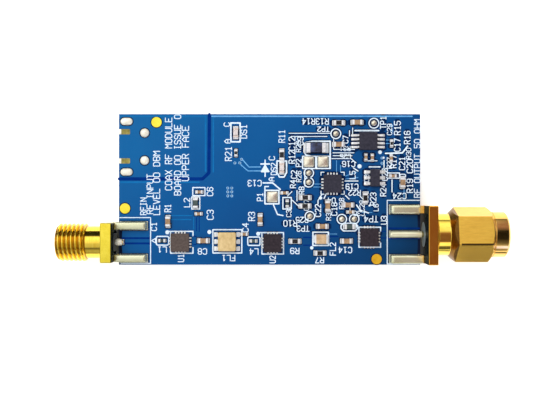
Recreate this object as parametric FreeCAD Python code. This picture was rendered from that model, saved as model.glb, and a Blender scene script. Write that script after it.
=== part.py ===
import FreeCAD, Part
import math
import os
from FreeCAD import Vector

# A small amplifier board with a coaxial jack, a coaxial plug and a USB receptacle, in mm.
# The board is centred on X and Y with its upper face at z = 0. The jack points to -X and the
# plug to +X; the USB receptacle hangs under the board at the -X edge. The files are saved in
# a frame whose origin is on the plug's axis at its reference plane.

os.makedirs("parts", exist_ok=True)

# ---------------------------------------------------------------- driving dimensions
BOARD_L, BOARD_W, BOARD_T = 50.0, 25.0, 1.6     # along X, Y and Z
LAND_T = 0.035          # copper land thickness
UNDER_Z = -BOARD_T - LAND_T     # outer face of the lands under the board
SIDES = (-1, 1)
TOUCH = 1e-6            # tolerance when picking edges

# both connectors
DIEL_R = 2.05           # dielectric radius
CONTACT_R = 0.635
CONTACT_L = 4.0         # length of the thick part of the inner contact
LEG_ROOT = 0.4          # how far a leg runs into its flange
THREAD_R = 3.12         # 1/4-36 major radius
THREAD_PITCH = 25.4 / 36.0
THREAD_GROOVE = 0.44    # groove width at the crest
THREAD_FLAT = 0.08      # flat at the groove's bottom
THREAD_DEPTH = 0.36

# input jack (female), on the -X edge
JACK_Y = -8.726
JACK_TAIL_R = 0.40
JACK_Z = LAND_T + JACK_TAIL_R
JACK_FLANGE = 6.50
JACK_FLANGE_X0, JACK_FLANGE_X1 = -27.40, -25.55
JACK_NECK_R, JACK_NECK_L = 2.65, 2.65
JACK_LEN = 7.45         # outboard flange face to the tip
JACK_TIP_X = JACK_FLANGE_X0 - JACK_LEN
RECESS_R, RECESS_L = 2.30, 1.93
JACK_REF_X = JACK_TIP_X + RECESS_L
SOCKET_R, SOCKET_L = 0.47, 2.6
SOCKET_SLIT_L, SOCKET_SLIT_HALF = 2.1, 0.065
JACK_LEG_W, JACK_LEG_H, JACK_LEG_X = 1.10, 1.00, -20.50
JACK_TAIL_X = -24.25

# output plug (male), on the +X edge
PLUG_Y = -7.444
PLUG_TAIL_R = 0.50
PLUG_Z = LAND_T + PLUG_TAIL_R
PLUG_FLANGE = 9.53
PLUG_FLANGE_X0, PLUG_FLANGE_X1 = 25.41, 27.05
PLUG_STEM_R = 3.10
PLUG_LEG_W, PLUG_LEG_H, PLUG_LEG_X = 1.27, 1.20, 20.10
PLUG_REF_X = 35.89      # reference plane
PLUG_SHOULDER_X = PLUG_REF_X - CONTACT_L    # back of the pin's thick part
PLUG_RIM_R = 2.26
PLUG_RIM_X = 32.99      # shoulder behind the rim
PIN_R, PIN_L = 0.457, 2.30
GASKET_L = 0.85

# coupling nut and its retaining ring
NUT_X0, NUT_X1 = 27.34, 38.89
NUT_SLEEVE_R = 3.45     # plain sleeve behind the hexagon
NUT_HEX_X0, NUT_HEX_X1 = 30.09, 36.24
NUT_AF = 8.0            # across flats
NUT_TILT = 11.4         # rotation of the hexagon about X, degrees
NUT_COLLAR_R = 3.78
NUT_BORE_R = 3.15
NUT_MINOR_R, NUT_MAJOR_R = 2.79, 3.20
NUT_CHAMBER_R = NUT_MAJOR_R + 0.10
NUT_CHAMBER_X0, NUT_CHAMBER_X1 = 32.64, 34.29   # wide chamber around the gasket
NUT_MINOR_X, NUT_THREAD_X = 34.64, 34.94
NUT_FLOAT = 0.20        # axial play of the nut
RING_X, RING_R, RING_WIRE = 31.39, 3.10, 0.27   # RING_WIRE is the wire's radius
RING_SWEEP = 330        # degrees

# USB receptacle, under the board at the -X edge
USB_Y = 7.077
USB_W, USB_H = 7.50, 2.50
USB_X0, USB_X1 = -24.90, -19.60
USB_WALL = 0.25
USB_CORNER = 0.85       # size of the two lower bevels
USB_PITCH = 0.65
TONGUE_X = -24.2
TONGUE_Z0, TONGUE_Z1 = UNDER_Z - 1.15, UNDER_Z - 0.62
SLOT_X = -23.73
SLOT_YS = (USB_Y + 4.193, USB_Y - 4.193)
SLOT_L, SLOT_W = 1.50, 0.70
USB_POSTS = [(-20.73, 9.38), (-20.73, 4.81)]
POST_HOLE_R, POST_R = 0.55, 0.45

# ---------------------------------------------------------------- layout tables: x, y
FIDUCIALS = [(-18.77, 11.16), (-24.00, -3.15), (17.75, -11.57)]
FIDUCIAL_R = 0.85
TEST_LANDS = [
    (6.50, 2.72), (6.50, 1.18), (6.67, -4.45), (10.99, 9.24),
    (17.31, 10.99), (11.98, -4.93), (14.04, -4.93),
]
TEST_R = 0.45
POWER_LANDS = [(0.43, -1.26), (6.50, 4.60), (8.86, 4.60)]
POWER_SIDE = 1.80
EDGE_LANDS = [(-24.03, 9.56), (-24.03, 4.72)]
VIAS = [(x, y) for x in (-6.94, -6.28) for y in (0.22, -0.41, -1.08)] + [
    (-4.64, 4.98), (-5.76, 4.38), (-4.94, 4.38), (20.24, 10.56),
    (20.24, 9.69), (18.64, 5.21), (18.65, 4.34),
]
VIA_R = 0.16
AMPLIFIERS = [(-14.82, -8.80), (0.49, -8.89), (16.51, -7.93)]
CONTROL_CHIP = (10.42, 0.94)
REGULATOR = (16.33, 7.98)
SWITCH = (17.42, 1.92)
LIDDED_FILTER = (-7.05, -8.66)
CERAMIC_FILTER = (8.56, -8.23)
POWER_INDUCTOR = (7.70, 6.88)
LEDS = [(-5.61, 9.40), (2.03, 3.54)]

# x, y, direction (H along X, V along Y), size, kind
CHIPS = [
    (-17.82, -8.50, "H", "0402", "inductor"), (-16.83, -5.32, "V", "0603", "capacitor"),
    (-10.97, -8.50, "H", "0603", "capacitor"), (-4.19, -7.43, "H", "0402", "capacitor"),
    (-2.66, -8.56, "H", "0402", "inductor"), (-1.56, -4.99, "V", "0603", "capacitor"),
    (4.22, -8.59, "H", "0603", "resistor"), (8.75, -6.12, "H", "0603", "capacitor"),
    (8.36, -10.56, "H", "0603", "resistor"), (12.76, -8.56, "H", "0603", "capacitor"),
    (13.24, -6.20, "H", "0603", "inductor"), (13.00, -2.58, "H", "0603", "capacitor"),
    (13.39, -3.75, "H", "0402", "capacitor"), (9.63, -2.75, "V", "0603", "capacitor"),
    (5.90, -1.36, "H", "0603", "resistor"), (5.87, -2.75, "H", "0603", "resistor"),
    (2.93, -2.36, "V", "0402", "inductor"), (2.47, -0.58, "H", "0402", "capacitor"),
    (11.47, 11.02, "H", "0603", "resistor"), (14.51, 11.10, "H", "0603", "capacitor"),
    (-5.57, 6.04, "V", "0402", "resistor"), (2.03, 5.71, "V", "0603", "resistor"),
    (-12.28, -2.25, "V", "0603", "inductor"), (-11.65, -0.43, "H", "0402", "capacitor"),
    (-11.77, -4.05, "H", "0402", "capacitor"), (15.86, -1.43, "V", "0603", "resistor"),
    (15.96, 5.35, "V", "0402", "capacitor"), (17.03, 5.27, "V", "0402", "capacitor"),
    (20.23, 7.62, "V", "0402", "resistor"), (20.47, 2.22, "H", "0402", "capacitor"),
    (22.04, 1.15, "V", "0603", "capacitor"), (11.44, 7.45, "H", "0603", "capacitor"),
    (20.16, 5.17, "V", "0402", "capacitor"),
]
# length, width, height, end cap length
CHIP_SIZES = {
    "0402": (1.00, 0.50, 0.35, 0.24),
    "0603": (1.60, 0.80, 0.50, 0.34),
    "1206": (3.20, 1.60, 1.10, 0.62),
}
TALL_CAPACITOR_H = 0.70     # height of the 0603 capacitors
CHIP_INSET = 0.02           # how far a chip's body sits inside its end caps
FILM_T = 0.03

# packages
LEADLESS_SIDE, LEADLESS_H, LEADLESS_PITCH = 3.0, 0.85, 0.5
TERMINAL_L, TERMINAL_W, TERMINAL_H = 0.40, 0.24, 0.20
REGULATOR_SIDE, REGULATOR_PITCH = 3.0, 0.65
SWITCH_W, SWITCH_L, SWITCH_PITCH = 1.6, 2.9, 0.95
LEAD_T = 0.15
FILTER_PITCH = 1.17
CERAMIC_HALF_L, CERAMIC_HALF_W, CERAMIC_H, CERAMIC_END = 0.82, 0.78, 0.75, 0.22
LED_HALF_W, LED_HALF_BASE, LED_HALF_L = 0.40, 0.50, 0.80


# ---------------------------------------------------------------- helpers
def box(x0, x1, y0, y1, z0, z1):
    return Part.makeBox(x1 - x0, y1 - y0, z1 - z0, Vector(x0, y0, z0))


def block(cx, cy, half_x, half_y, z0, z1):
    return box(cx - half_x, cx + half_x, cy - half_y, cy + half_y, z0, z1)


def rod_x(radius, x0, x1, y, z):
    return Part.makeCylinder(radius, x1 - x0, Vector(x0, y, z), Vector(1, 0, 0))


def rod_z(radius, z0, z1, x, y):
    return Part.makeCylinder(radius, z1 - z0, Vector(x, y, z0), Vector(0, 0, 1))


def polygon_face(points):
    return Part.Face(Part.makePolygon(points + [points[0]]))


def turn_x(profile, y, z):
    """Solid of revolution about the X-parallel line through (y, z); profile holds (x, radius)."""
    face = polygon_face([Vector(x, y, z + radius) for x, radius in profile])
    return face.revolve(Vector(0, y, z), Vector(1, 0, 0), 360)


def prism_y(points, y0, y1):
    """Extrude the closed (x, z) outline along Y."""
    return polygon_face([Vector(x, y0, z) for x, z in points]).extrude(Vector(0, y1 - y0, 0))


def prism_x(points, x0, x1):
    """Extrude the closed (y, z) outline along X."""
    return polygon_face([Vector(x0, y, z) for y, z in points]).extrude(Vector(x1 - x0, 0, 0))


def fuse(shapes):
    return shapes[0].multiFuse(shapes[1:]).removeSplitter()


def at_x(x):
    return lambda edge: all(abs(v.Point.x - x) < TOUCH for v in edge.Vertexes)


def at_z(z):
    return lambda edge: all(abs(v.Point.z - z) < TOUCH for v in edge.Vertexes)


def upright(edge):
    start, end = edge.Vertexes[0].Point, edge.Vertexes[-1].Point
    return abs(start.x - end.x) < TOUCH and abs(start.y - end.y) < TOUCH


def every_edge(edge):
    return True


def fillet(solid, radius, pick):
    return solid.makeFillet(radius, [edge for edge in solid.Edges if pick(edge)])


def row(count, pitch):
    """Offsets of a centred row."""
    return [(k - (count - 1) / 2.0) * pitch for k in range(count)]


def save(name, shapes):
    solids = []
    for shape in shapes:
        moved = shape.copy()
        moved.translate(Vector(-PLUG_REF_X, -PLUG_Y, -PLUG_Z))
        solids += moved.Solids
    assert all(solid.isValid() and solid.Volume > 0 for solid in solids), name
    result = solids[0] if len(solids) == 1 else Part.makeCompound(solids)
    result.exportStep("parts/" + name + ".step")


def rounded_slot(x, y, half_width, z0, z1):
    """Slot shape along X around a USB slot's centres of curvature."""
    reach = (SLOT_L - SLOT_W) / 2
    return fuse([
        block(x, y, reach, half_width, z0, z1),
        rod_z(half_width, z0, z1, x - reach, y),
        rod_z(half_width, z0, z1, x + reach, y),
    ])


def land(cx, cy, length_x, length_y, thickness=LAND_T, z=0.0):
    plate = block(cx, cy, length_x / 2, length_y / 2, z, z + thickness)
    return fillet(plate, min(length_x, length_y) * 0.2, upright)


# ---------------------------------------------------------------- circuit board
def circuit_board():
    bottom, top = -BOARD_T - 1, 1
    cuts = [rounded_slot(SLOT_X, y, SLOT_W / 2, bottom, top) for y in SLOT_YS]
    cuts += [rod_z(POST_HOLE_R, bottom, top, x, y) for x, y in USB_POSTS]
    cuts += [rod_z(VIA_R, bottom, top, x, y) for x, y in VIAS]
    board = block(0, 0, BOARD_L / 2, BOARD_W / 2, -BOARD_T, 0)
    return board.cut(Part.makeCompound(cuts))


# ---------------------------------------------------------------- copper lands
def usb_hole_lands(z0, z1):
    slot_ring, post_ring = 0.25, 0.18   # ring widths
    rings = []
    for y in SLOT_YS:
        outer = rounded_slot(SLOT_X, y, SLOT_W / 2 + slot_ring, z0, z1)
        rings.append(outer.cut(rounded_slot(SLOT_X, y, SLOT_W / 2, z0 - 1, z1 + 1)))
    for x, y in USB_POSTS:
        outer = rod_z(POST_HOLE_R + post_ring, z0, z1, x, y)
        rings.append(outer.cut(rod_z(POST_HOLE_R, z0 - 1, z1 + 1, x, y)))
    return rings


def chip_part_lands():
    places = [entry[:4] for entry in CHIPS]
    places += [(x, y, "V", "0603") for x, y in LEDS]
    places.append(POWER_INDUCTOR + ("H", "1206"))
    lands = []
    for x, y, direction, size in places:
        length, width, _, cap = CHIP_SIZES[size]
        land_length = cap + 0.30 * width + 0.10
        land_width = width + 0.08
        offset = length / 2 - cap / 2 + 0.12 * width
        for side in SIDES:
            if direction == "H":
                lands.append(land(x + side * offset, y, land_length, land_width))
            else:
                lands.append(land(x, y + side * offset, land_width, land_length))
    return lands


def paired_lands(centre, offset, steps, length, width):
    """Lands in two columns along Y, at offset on each side of the centre."""
    cx, cy = centre
    return [land(cx + side * offset, cy + step, length, width)
            for step in steps for side in SIDES]


def package_lands():
    lands = []
    for cx, cy in AMPLIFIERS + [CONTROL_CHIP]:
        lands.append(land(cx, cy, 1.65, 1.65))
        for step in row(4, LEADLESS_PITCH):
            for side in SIDES:
                reach = side * LEADLESS_SIDE / 2
                lands.append(land(cx + reach, cy + step, 0.70, 0.26))
                lands.append(land(cx + step, cy + reach, 0.26, 0.70))
    lands += paired_lands(REGULATOR, 2.20, row(4, REGULATOR_PITCH), 1.15, 0.40)
    lands += paired_lands(SWITCH, 1.28, row(3, SWITCH_PITCH), 0.95, 0.58)
    lands += paired_lands(LIDDED_FILTER, 1.62, row(3, FILTER_PITCH), 1.05, 0.78)
    lands += paired_lands(CERAMIC_FILTER, 0.95, [0], 0.50, 1.30)
    return lands


def connector_lands():
    """Lands under the legs, on both board faces, and under the two tails."""
    edge_x = BOARD_L / 2 - 0.15
    jack_end, plug_end = JACK_LEG_X + 0.30, PLUG_LEG_X - 0.30
    lands = []
    for side in SIDES:
        y = JACK_Y + side * (JACK_FLANGE / 2 - JACK_LEG_W / 2)
        for z in (0, UNDER_Z):
            lands.append(box(-edge_x, jack_end, y - 0.72, y + 0.72, z, z + LAND_T))
        y = PLUG_Y + side * (PLUG_FLANGE / 2 - PLUG_LEG_W / 2)
        below = 0.80 if side > 0 else 0.70      # narrower beside the board's edge
        for z in (0, UNDER_Z):
            lands.append(box(plug_end, edge_x, y - below, y + 0.80, z, z + LAND_T))
    lands.append(box(-edge_x, JACK_TAIL_X + 0.12, JACK_Y - 0.45, JACK_Y + 0.45, 0, LAND_T))
    lands.append(box(plug_end, edge_x, PLUG_Y - 0.62, PLUG_Y + 0.62, 0, LAND_T))
    return lands


# ---------------------------------------------------------------- connector details
def square_flange(x0, x1, y, z, side, radius):
    half = side / 2
    return fillet(box(x0, x1, y - half, y + half, z - half, z + half), radius, every_edge)


def legs(centre_y, flange, width, height, root_x, tip_x, radius):
    """Four legs that grip the board above and below, with rounded tips."""
    result = []
    x0, x1 = sorted((root_x, tip_x))
    for side in SIDES:
        y0 = centre_y + side * (flange / 2 - width / 2) - width / 2
        for z0 in (LAND_T, UNDER_Z - height):
            leg = box(x0, x1, y0, y0 + width, z0, z0 + height)
            result.append(fillet(leg, radius, at_x(tip_x)))
    return result


def thread_groove(x, toward, edge_r, root_r):
    """Profile points of one groove that starts at x and runs toward -X (-1) or +X (1)."""
    flank = (THREAD_GROOVE - THREAD_FLAT) / 2
    return [(x, edge_r), (x + toward * flank, root_r),
            (x + toward * (flank + THREAD_FLAT), root_r), (x + toward * THREAD_GROOVE, edge_r)]


# ---------------------------------------------------------------- input jack
def jack_body():
    inner_x = JACK_FLANGE_X0 + 0.5      # the barrel starts inside the flange
    neck_x = JACK_FLANGE_X0 - JACK_NECK_L
    crest_x = neck_x - 0.22
    lead_in = 0.42
    profile = [(inner_x, 0.0), (inner_x, JACK_NECK_R), (neck_x, JACK_NECK_R),
               (crest_x, THREAD_R)]
    x = crest_x - 0.30
    while x - THREAD_GROOVE > JACK_TIP_X + lead_in + 0.12:
        profile += thread_groove(x, -1, THREAD_R, THREAD_R - THREAD_DEPTH)
        x -= THREAD_PITCH
    profile += [(JACK_TIP_X + lead_in, THREAD_R), (JACK_TIP_X, THREAD_R - 0.36),
                (JACK_TIP_X, 0.0)]
    barrel = turn_x(profile, JACK_Y, JACK_Z)
    flange = square_flange(JACK_FLANGE_X0, JACK_FLANGE_X1, JACK_Y, JACK_Z, JACK_FLANGE, 0.15)
    body = fuse([flange, barrel] + legs(
        JACK_Y, JACK_FLANGE, JACK_LEG_W, JACK_LEG_H, JACK_FLANGE_X1 - LEG_ROOT, JACK_LEG_X, 0.18))
    body = body.cut(rod_x(RECESS_R, JACK_TIP_X - 1, JACK_REF_X, JACK_Y, JACK_Z))
    body = body.cut(rod_x(DIEL_R, JACK_TIP_X, JACK_FLANGE_X1 + 1, JACK_Y, JACK_Z))
    return body.removeSplitter()


JACK_CONTACT_X = JACK_REF_X + 4.2       # inboard end of the contact's thick part


def jack_insulator():
    hole = fuse([
        rod_x(CONTACT_R, JACK_REF_X - 1, JACK_CONTACT_X, JACK_Y, JACK_Z),
        rod_x(JACK_TAIL_R, JACK_REF_X - 1, JACK_FLANGE_X1 + 1, JACK_Y, JACK_Z),
    ])
    return rod_x(DIEL_R, JACK_REF_X, JACK_FLANGE_X1, JACK_Y, JACK_Z).cut(hole)


def jack_contact():
    """Socket with four fingers, and a tail onto the board."""
    contact = fuse([
        rod_x(CONTACT_R, JACK_REF_X, JACK_CONTACT_X, JACK_Y, JACK_Z),
        rod_x(JACK_TAIL_R, JACK_CONTACT_X - 0.2, JACK_TAIL_X, JACK_Y, JACK_Z),
    ])
    contact = contact.cut(
        rod_x(SOCKET_R, JACK_REF_X - 1, JACK_REF_X + SOCKET_L, JACK_Y, JACK_Z))
    for half_y, half_z in ((1, SOCKET_SLIT_HALF), (SOCKET_SLIT_HALF, 1)):
        contact = contact.cut(box(
            JACK_REF_X - 1, JACK_REF_X + SOCKET_SLIT_L,
            JACK_Y - half_y, JACK_Y + half_y, JACK_Z - half_z, JACK_Z + half_z))
    return contact


# ---------------------------------------------------------------- output plug
def plug_body():
    inner_x = PLUG_FLANGE_X0 + 0.3      # the stem starts inside the flange
    groove_x0 = RING_X - RING_WIRE - 0.03
    groove_x1 = RING_X + RING_WIRE + 0.03 + NUT_FLOAT
    groove_r = PLUG_STEM_R - 0.34
    stem = turn_x([
        (inner_x, 0.0), (inner_x, PLUG_STEM_R),
        (groove_x0, PLUG_STEM_R), (groove_x0, groove_r),
        (groove_x1, groove_r), (groove_x1, PLUG_STEM_R),
        (PLUG_RIM_X - 0.25, PLUG_STEM_R), (PLUG_RIM_X, PLUG_STEM_R - 0.25),
        (PLUG_RIM_X, PLUG_RIM_R), (PLUG_REF_X - 0.12, PLUG_RIM_R),
        (PLUG_REF_X, PLUG_RIM_R - 0.08), (PLUG_REF_X, 0.0),
    ], PLUG_Y, PLUG_Z)
    flange = square_flange(PLUG_FLANGE_X0, PLUG_FLANGE_X1, PLUG_Y, PLUG_Z, PLUG_FLANGE, 0.18)
    body = fuse([flange, stem] + legs(
        PLUG_Y, PLUG_FLANGE, PLUG_LEG_W, PLUG_LEG_H, PLUG_FLANGE_X0 + LEG_ROOT, PLUG_LEG_X, 0.20))
    body = body.cut(rod_x(DIEL_R, PLUG_FLANGE_X0 - 1, PLUG_REF_X + 1, PLUG_Y, PLUG_Z))
    return body.removeSplitter()


def plug_insulator():
    hole = fuse([
        rod_x(CONTACT_R, PLUG_SHOULDER_X, PLUG_REF_X + 1, PLUG_Y, PLUG_Z),
        rod_x(PLUG_TAIL_R, PLUG_FLANGE_X0 - 1, PLUG_REF_X, PLUG_Y, PLUG_Z),
    ])
    return rod_x(DIEL_R, PLUG_FLANGE_X0, PLUG_REF_X, PLUG_Y, PLUG_Z).cut(hole)


def plug_pin():
    tip_x = PLUG_REF_X + PIN_L
    return turn_x([
        (PLUG_LEG_X, 0.0), (PLUG_LEG_X, PLUG_TAIL_R - 0.15), (PLUG_LEG_X + 0.15, PLUG_TAIL_R),
        (PLUG_SHOULDER_X, PLUG_TAIL_R), (PLUG_SHOULDER_X, CONTACT_R),
        (PLUG_REF_X, CONTACT_R), (PLUG_REF_X, PIN_R),
        (tip_x - 0.30, PIN_R), (tip_x, 0.16), (tip_x, 0.0),
    ], PLUG_Y, PLUG_Z)


def plug_gasket():
    x0, x1 = PLUG_RIM_X, PLUG_RIM_X + GASKET_L
    edge_r, outer_r = PLUG_STEM_R - 0.30, PLUG_STEM_R - 0.18
    return turn_x([
        (x0, PLUG_RIM_R), (x0, edge_r), (x0 + 0.10, outer_r),
        (x1 - 0.10, outer_r), (x1, edge_r), (x1, PLUG_RIM_R),
    ], PLUG_Y, PLUG_Z)


def retaining_ring():
    """Split wire ring between the stem's groove and the nut's groove."""
    centre = Vector(RING_X, PLUG_Y, PLUG_Z + RING_R)
    circle = Part.Wire(Part.makeCircle(RING_WIRE, centre, Vector(0, 1, 0)))
    return Part.Face(circle).revolve(
        Vector(RING_X, PLUG_Y, PLUG_Z), Vector(1, 0, 0), RING_SWEEP)


def coupling_nut():
    corner_r = NUT_AF / math.sqrt(3)
    corners = []
    for k in range(6):
        angle = math.radians(NUT_TILT + 30 + 60 * k)    # from +Z towards +Y
        corners.append(Vector(NUT_X0 - 1, PLUG_Y + corner_r * math.sin(angle),
                              PLUG_Z + corner_r * math.cos(angle)))
    hexagon = polygon_face(corners).extrude(Vector(NUT_X1 - NUT_X0 + 2, 0, 0))
    outside = [
        (NUT_X0, 0.0), (NUT_X0, NUT_SLEEVE_R - 0.12), (NUT_X0 + 0.12, NUT_SLEEVE_R),
        (NUT_HEX_X0 - 0.75, NUT_SLEEVE_R), (NUT_HEX_X0 + 0.45, corner_r),
        (NUT_HEX_X1 - 0.40, corner_r), (NUT_HEX_X1, corner_r - 0.62),
        (NUT_HEX_X1, NUT_COLLAR_R - 0.12), (NUT_HEX_X1 + 0.28, NUT_COLLAR_R - 0.12),
        (NUT_HEX_X1 + 0.34, NUT_COLLAR_R), (NUT_X1 - 0.30, NUT_COLLAR_R),
        (NUT_X1, NUT_COLLAR_R - 0.30), (NUT_X1, 0.0),
    ]
    nut = turn_x(outside, PLUG_Y, PLUG_Z).common(hexagon)

    groove_half = RING_WIRE + 0.02
    groove_r = RING_R + RING_WIRE + 0.06
    bore = [
        (NUT_X0 - 1, 0.0), (NUT_X0 - 1, NUT_BORE_R),
        (RING_X - groove_half, NUT_BORE_R), (RING_X - groove_half, groove_r),
        (RING_X + groove_half, groove_r), (RING_X + groove_half, NUT_BORE_R),
        (NUT_CHAMBER_X0 - 0.15, NUT_BORE_R), (NUT_CHAMBER_X0, NUT_CHAMBER_R),
        (NUT_CHAMBER_X1, NUT_CHAMBER_R), (NUT_MINOR_X, NUT_MINOR_R),
    ]
    x = NUT_THREAD_X
    while x + THREAD_GROOVE < NUT_X1 - 0.62:
        bore += thread_groove(x, 1, NUT_MINOR_R, NUT_MAJOR_R)
        x += THREAD_PITCH
    bore += [(NUT_X1 - 0.50, NUT_MINOR_R), (NUT_X1, NUT_CHAMBER_R),
             (NUT_X1 + 1, NUT_CHAMBER_R), (NUT_X1 + 1, 0.0)]
    return nut.cut(turn_x(bore, PLUG_Y, PLUG_Z))


# ---------------------------------------------------------------- USB receptacle
def usb_section(inset):
    """(y, z) outline of the shell, moved inwards by inset."""
    half = USB_W / 2 - inset
    bottom = UNDER_Z - USB_H
    flat_half = half - USB_CORNER + inset * 0.2
    bevel_z = bottom + USB_CORNER + inset * 0.4
    return [
        (USB_Y - half, UNDER_Z - inset), (USB_Y + half, UNDER_Z - inset),
        (USB_Y + half, bevel_z), (USB_Y + flat_half, bottom + inset),
        (USB_Y - flat_half, bottom + inset), (USB_Y - half, bevel_z),
    ]


def usb_contacts():
    contacts = []
    x0, x1 = USB_X1 + 0.05, USB_X1 + 0.20
    low, high = TONGUE_Z0 - 0.06, TONGUE_Z0 + 0.06
    for step in row(5, USB_PITCH):
        y0, y1 = USB_Y + step - 0.15, USB_Y + step + 0.15
        strip = box(-24.0, x1, y0, y1, low, high)
        rise = box(x0, x1, y0, y1, low, UNDER_Z)
        foot = box(x0, USB_X1 + 0.85, y0, y1, UNDER_Z - 0.15, UNDER_Z)
        contacts.append(fuse([strip, rise, foot]))
    return contacts


def usb_housing(contacts):
    back = prism_x(usb_section(USB_WALL), USB_X1 - 1.30, USB_X1)
    tongue = box(TONGUE_X, USB_X1 - 1.0, USB_Y - 1.85, USB_Y + 1.85, TONGUE_Z0, TONGUE_Z1)
    pick = at_x(TONGUE_X)
    tongue = tongue.makeChamfer(0.12, [edge for edge in tongue.Edges if pick(edge)])
    housing = fuse([back, tongue])
    for contact in contacts:
        housing = housing.cut(contact)
    return housing


def usb_shell():
    tab_half_l, tab_half_t, tab_h = 0.60, 0.15, 0.30
    tube = prism_x(usb_section(0), USB_X0, USB_X1)
    pieces = [tube.cut(prism_x(usb_section(USB_WALL), USB_X0 - 1, USB_X1 + 1))]
    x0, x1 = SLOT_X - tab_half_l, SLOT_X + tab_half_l
    for y, side in zip(SLOT_YS, (1, -1)):
        y0, y1 = sorted((USB_Y + side * (USB_W / 2 - 0.05), y + side * tab_half_t))
        pieces.append(box(x0, x1, y0, y1, UNDER_Z - tab_h, UNDER_Z))
        pieces.append(box(x0, x1, y - tab_half_t, y + tab_half_t, UNDER_Z - tab_h, 0.25))
    for x, y in USB_POSTS:
        pieces.append(rod_z(POST_R, UNDER_Z - USB_WALL * 0.6, 0.10, x, y))
    return fuse(pieces)


# ---------------------------------------------------------------- leadless packages
def leadless(cx, cy):
    """(body, terminals) of a square package with four terminals on each side."""
    half = LEADLESS_SIDE / 2
    top = LAND_T + LEADLESS_H
    terminal_top = LAND_T + TERMINAL_H
    terminals = [land(cx, cy, 1.60, 1.60, TERMINAL_H, LAND_T)]
    for step in row(4, LEADLESS_PITCH):
        for side in SIDES:
            near, far = sorted((side * half, side * (half - TERMINAL_L)))
            low, high = step - TERMINAL_W / 2, step + TERMINAL_W / 2
            terminals.append(
                box(cx + near, cx + far, cy + low, cy + high, LAND_T, terminal_top))
            terminals.append(
                box(cx + low, cx + high, cy + near, cy + far, LAND_T, terminal_top))
    body = fillet(block(cx, cy, half, half, LAND_T, top), 0.05, at_z(top))
    body = body.cut(rod_z(0.16, top - 0.03, top + 1, cx - half + 0.45, cy + half - 0.45))
    return body.cut(Part.makeCompound(terminals)), terminals


def save_leadless(name, places):
    bodies, terminals = [], []
    for x, y in places:
        body, body_terminals = leadless(x, y)
        bodies.append(body)
        terminals += body_terminals
    save(name, bodies)
    save(name.rstrip("s") + "_terminals", terminals)


# ---------------------------------------------------------------- packages with formed leads
def moulded(cx, cy, length_x, length_y, z0, z1, draft):
    """Block whose four sides taper by draft above and below a middle band."""
    low, high = (z0 + z1) / 2 - 0.08, (z0 + z1) / 2 + 0.08

    def outline(centre, length):
        start, end = centre - length / 2, centre + length / 2
        return [(start + draft, z0), (end - draft, z0), (end, low), (end, high),
                (end - draft, z1), (start + draft, z1), (start, high), (start, low)]

    along_y = prism_y(outline(cx, length_x), cy - length_y, cy + length_y)
    along_x = prism_x(outline(cy, length_y), cx - length_x, cx + length_x)
    return along_y.common(along_x)


def formed_lead(cx, cy, side, root, tip, root_z, width):
    """Lead from the body at root down to a foot that ends at tip, both measured from cx."""
    heel = tip - 0.55
    top, bottom = root_z + LEAD_T / 2, root_z - LEAD_T / 2
    points = [
        (root, top), (root + 0.22, top), (heel + 0.02, LAND_T + LEAD_T), (tip, LAND_T + LEAD_T),
        (tip, LAND_T), (heel - 0.10, LAND_T), (root + 0.14, bottom), (root, bottom),
    ]
    return prism_y([(cx + side * x, z) for x, z in points], cy - width / 2, cy + width / 2)


def formed_leads(centre, steps, *lead_shape):
    cx, cy = centre
    return [formed_lead(cx, cy + step, side, *lead_shape) for step in steps for side in SIDES]


def regulator_body():
    cx, cy = REGULATOR
    body = moulded(cx, cy, REGULATOR_SIDE, REGULATOR_SIDE, 0.13, 1.02, 0.10)
    return body.cut(rod_z(0.20, 0.98, 2, cx - 0.95, cy + 0.95))


def switch_body():
    cx, cy = SWITCH
    body = moulded(cx, cy, SWITCH_W, SWITCH_L, 0.12, 1.18, 0.09)
    return body.cut(rod_z(0.16, 1.14, 2, cx - 0.42, cy + 1.08))


# ---------------------------------------------------------------- filters
def save_lidded_filter():
    cx, cy = LIDDED_FILTER
    half_x, half_y = 1.50, 1.58
    lid_z, top = LAND_T + 0.30, LAND_T + 0.95
    base = fillet(block(cx, cy, half_x, half_y, LAND_T, lid_z), 0.08, upright)
    lid = block(cx, cy, half_x - 0.03, half_y - 0.03, lid_z, top)
    lid = fillet(lid, 0.25, upright)
    lid = fillet(lid, 0.10, at_z(top))
    terminals = []
    for step in row(3, FILTER_PITCH):
        for side in SIDES:
            x0, x1 = sorted((cx + side * half_x, cx + side * (half_x + 0.06)))
            y = cy + step
            terminals.append(box(x0, x1, y - 0.30, y + 0.30, LAND_T, LAND_T + 0.28))
    save("filter_base", [base])
    save("filter_lid", [lid])
    save("filter_terminals", terminals)


def save_ceramic_filter():
    cx, cy = CERAMIC_FILTER

    def rounded(x0, x1, radius):
        bar = box(cx + x0, cx + x1, cy - CERAMIC_HALF_W, cy + CERAMIC_HALF_W,
                  LAND_T, LAND_T + CERAMIC_H)
        return fillet(bar, radius, every_edge)

    save("ceramic_filter", [rounded(-CERAMIC_HALF_L, CERAMIC_HALF_L, 0.06)])
    save("ceramic_filter_terminals", [
        rounded(x0, x0 + CERAMIC_END, 0.05)
        for x0 in (-CERAMIC_HALF_L - CERAMIC_END, CERAMIC_HALF_L)])


# ---------------------------------------------------------------- chip parts with end caps
def chip_cap(side, length, width, height, cap):
    end_x = side * length / 2
    x0, x1 = sorted((end_x, side * (length / 2 - cap)))
    at_end = at_x(end_x)

    def rounded(edge):
        """The edges of the end face, and the upper ones along X."""
        start, end = edge.Vertexes[0].Point, edge.Vertexes[1].Point
        return at_end(edge) or (abs(start.x - end.x) > TOUCH and start.z > LAND_T + 0.01)

    solid = box(x0, x1, -width / 2, width / 2, LAND_T, LAND_T + height)
    return fillet(solid, 0.11 * width, rounded)


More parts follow.
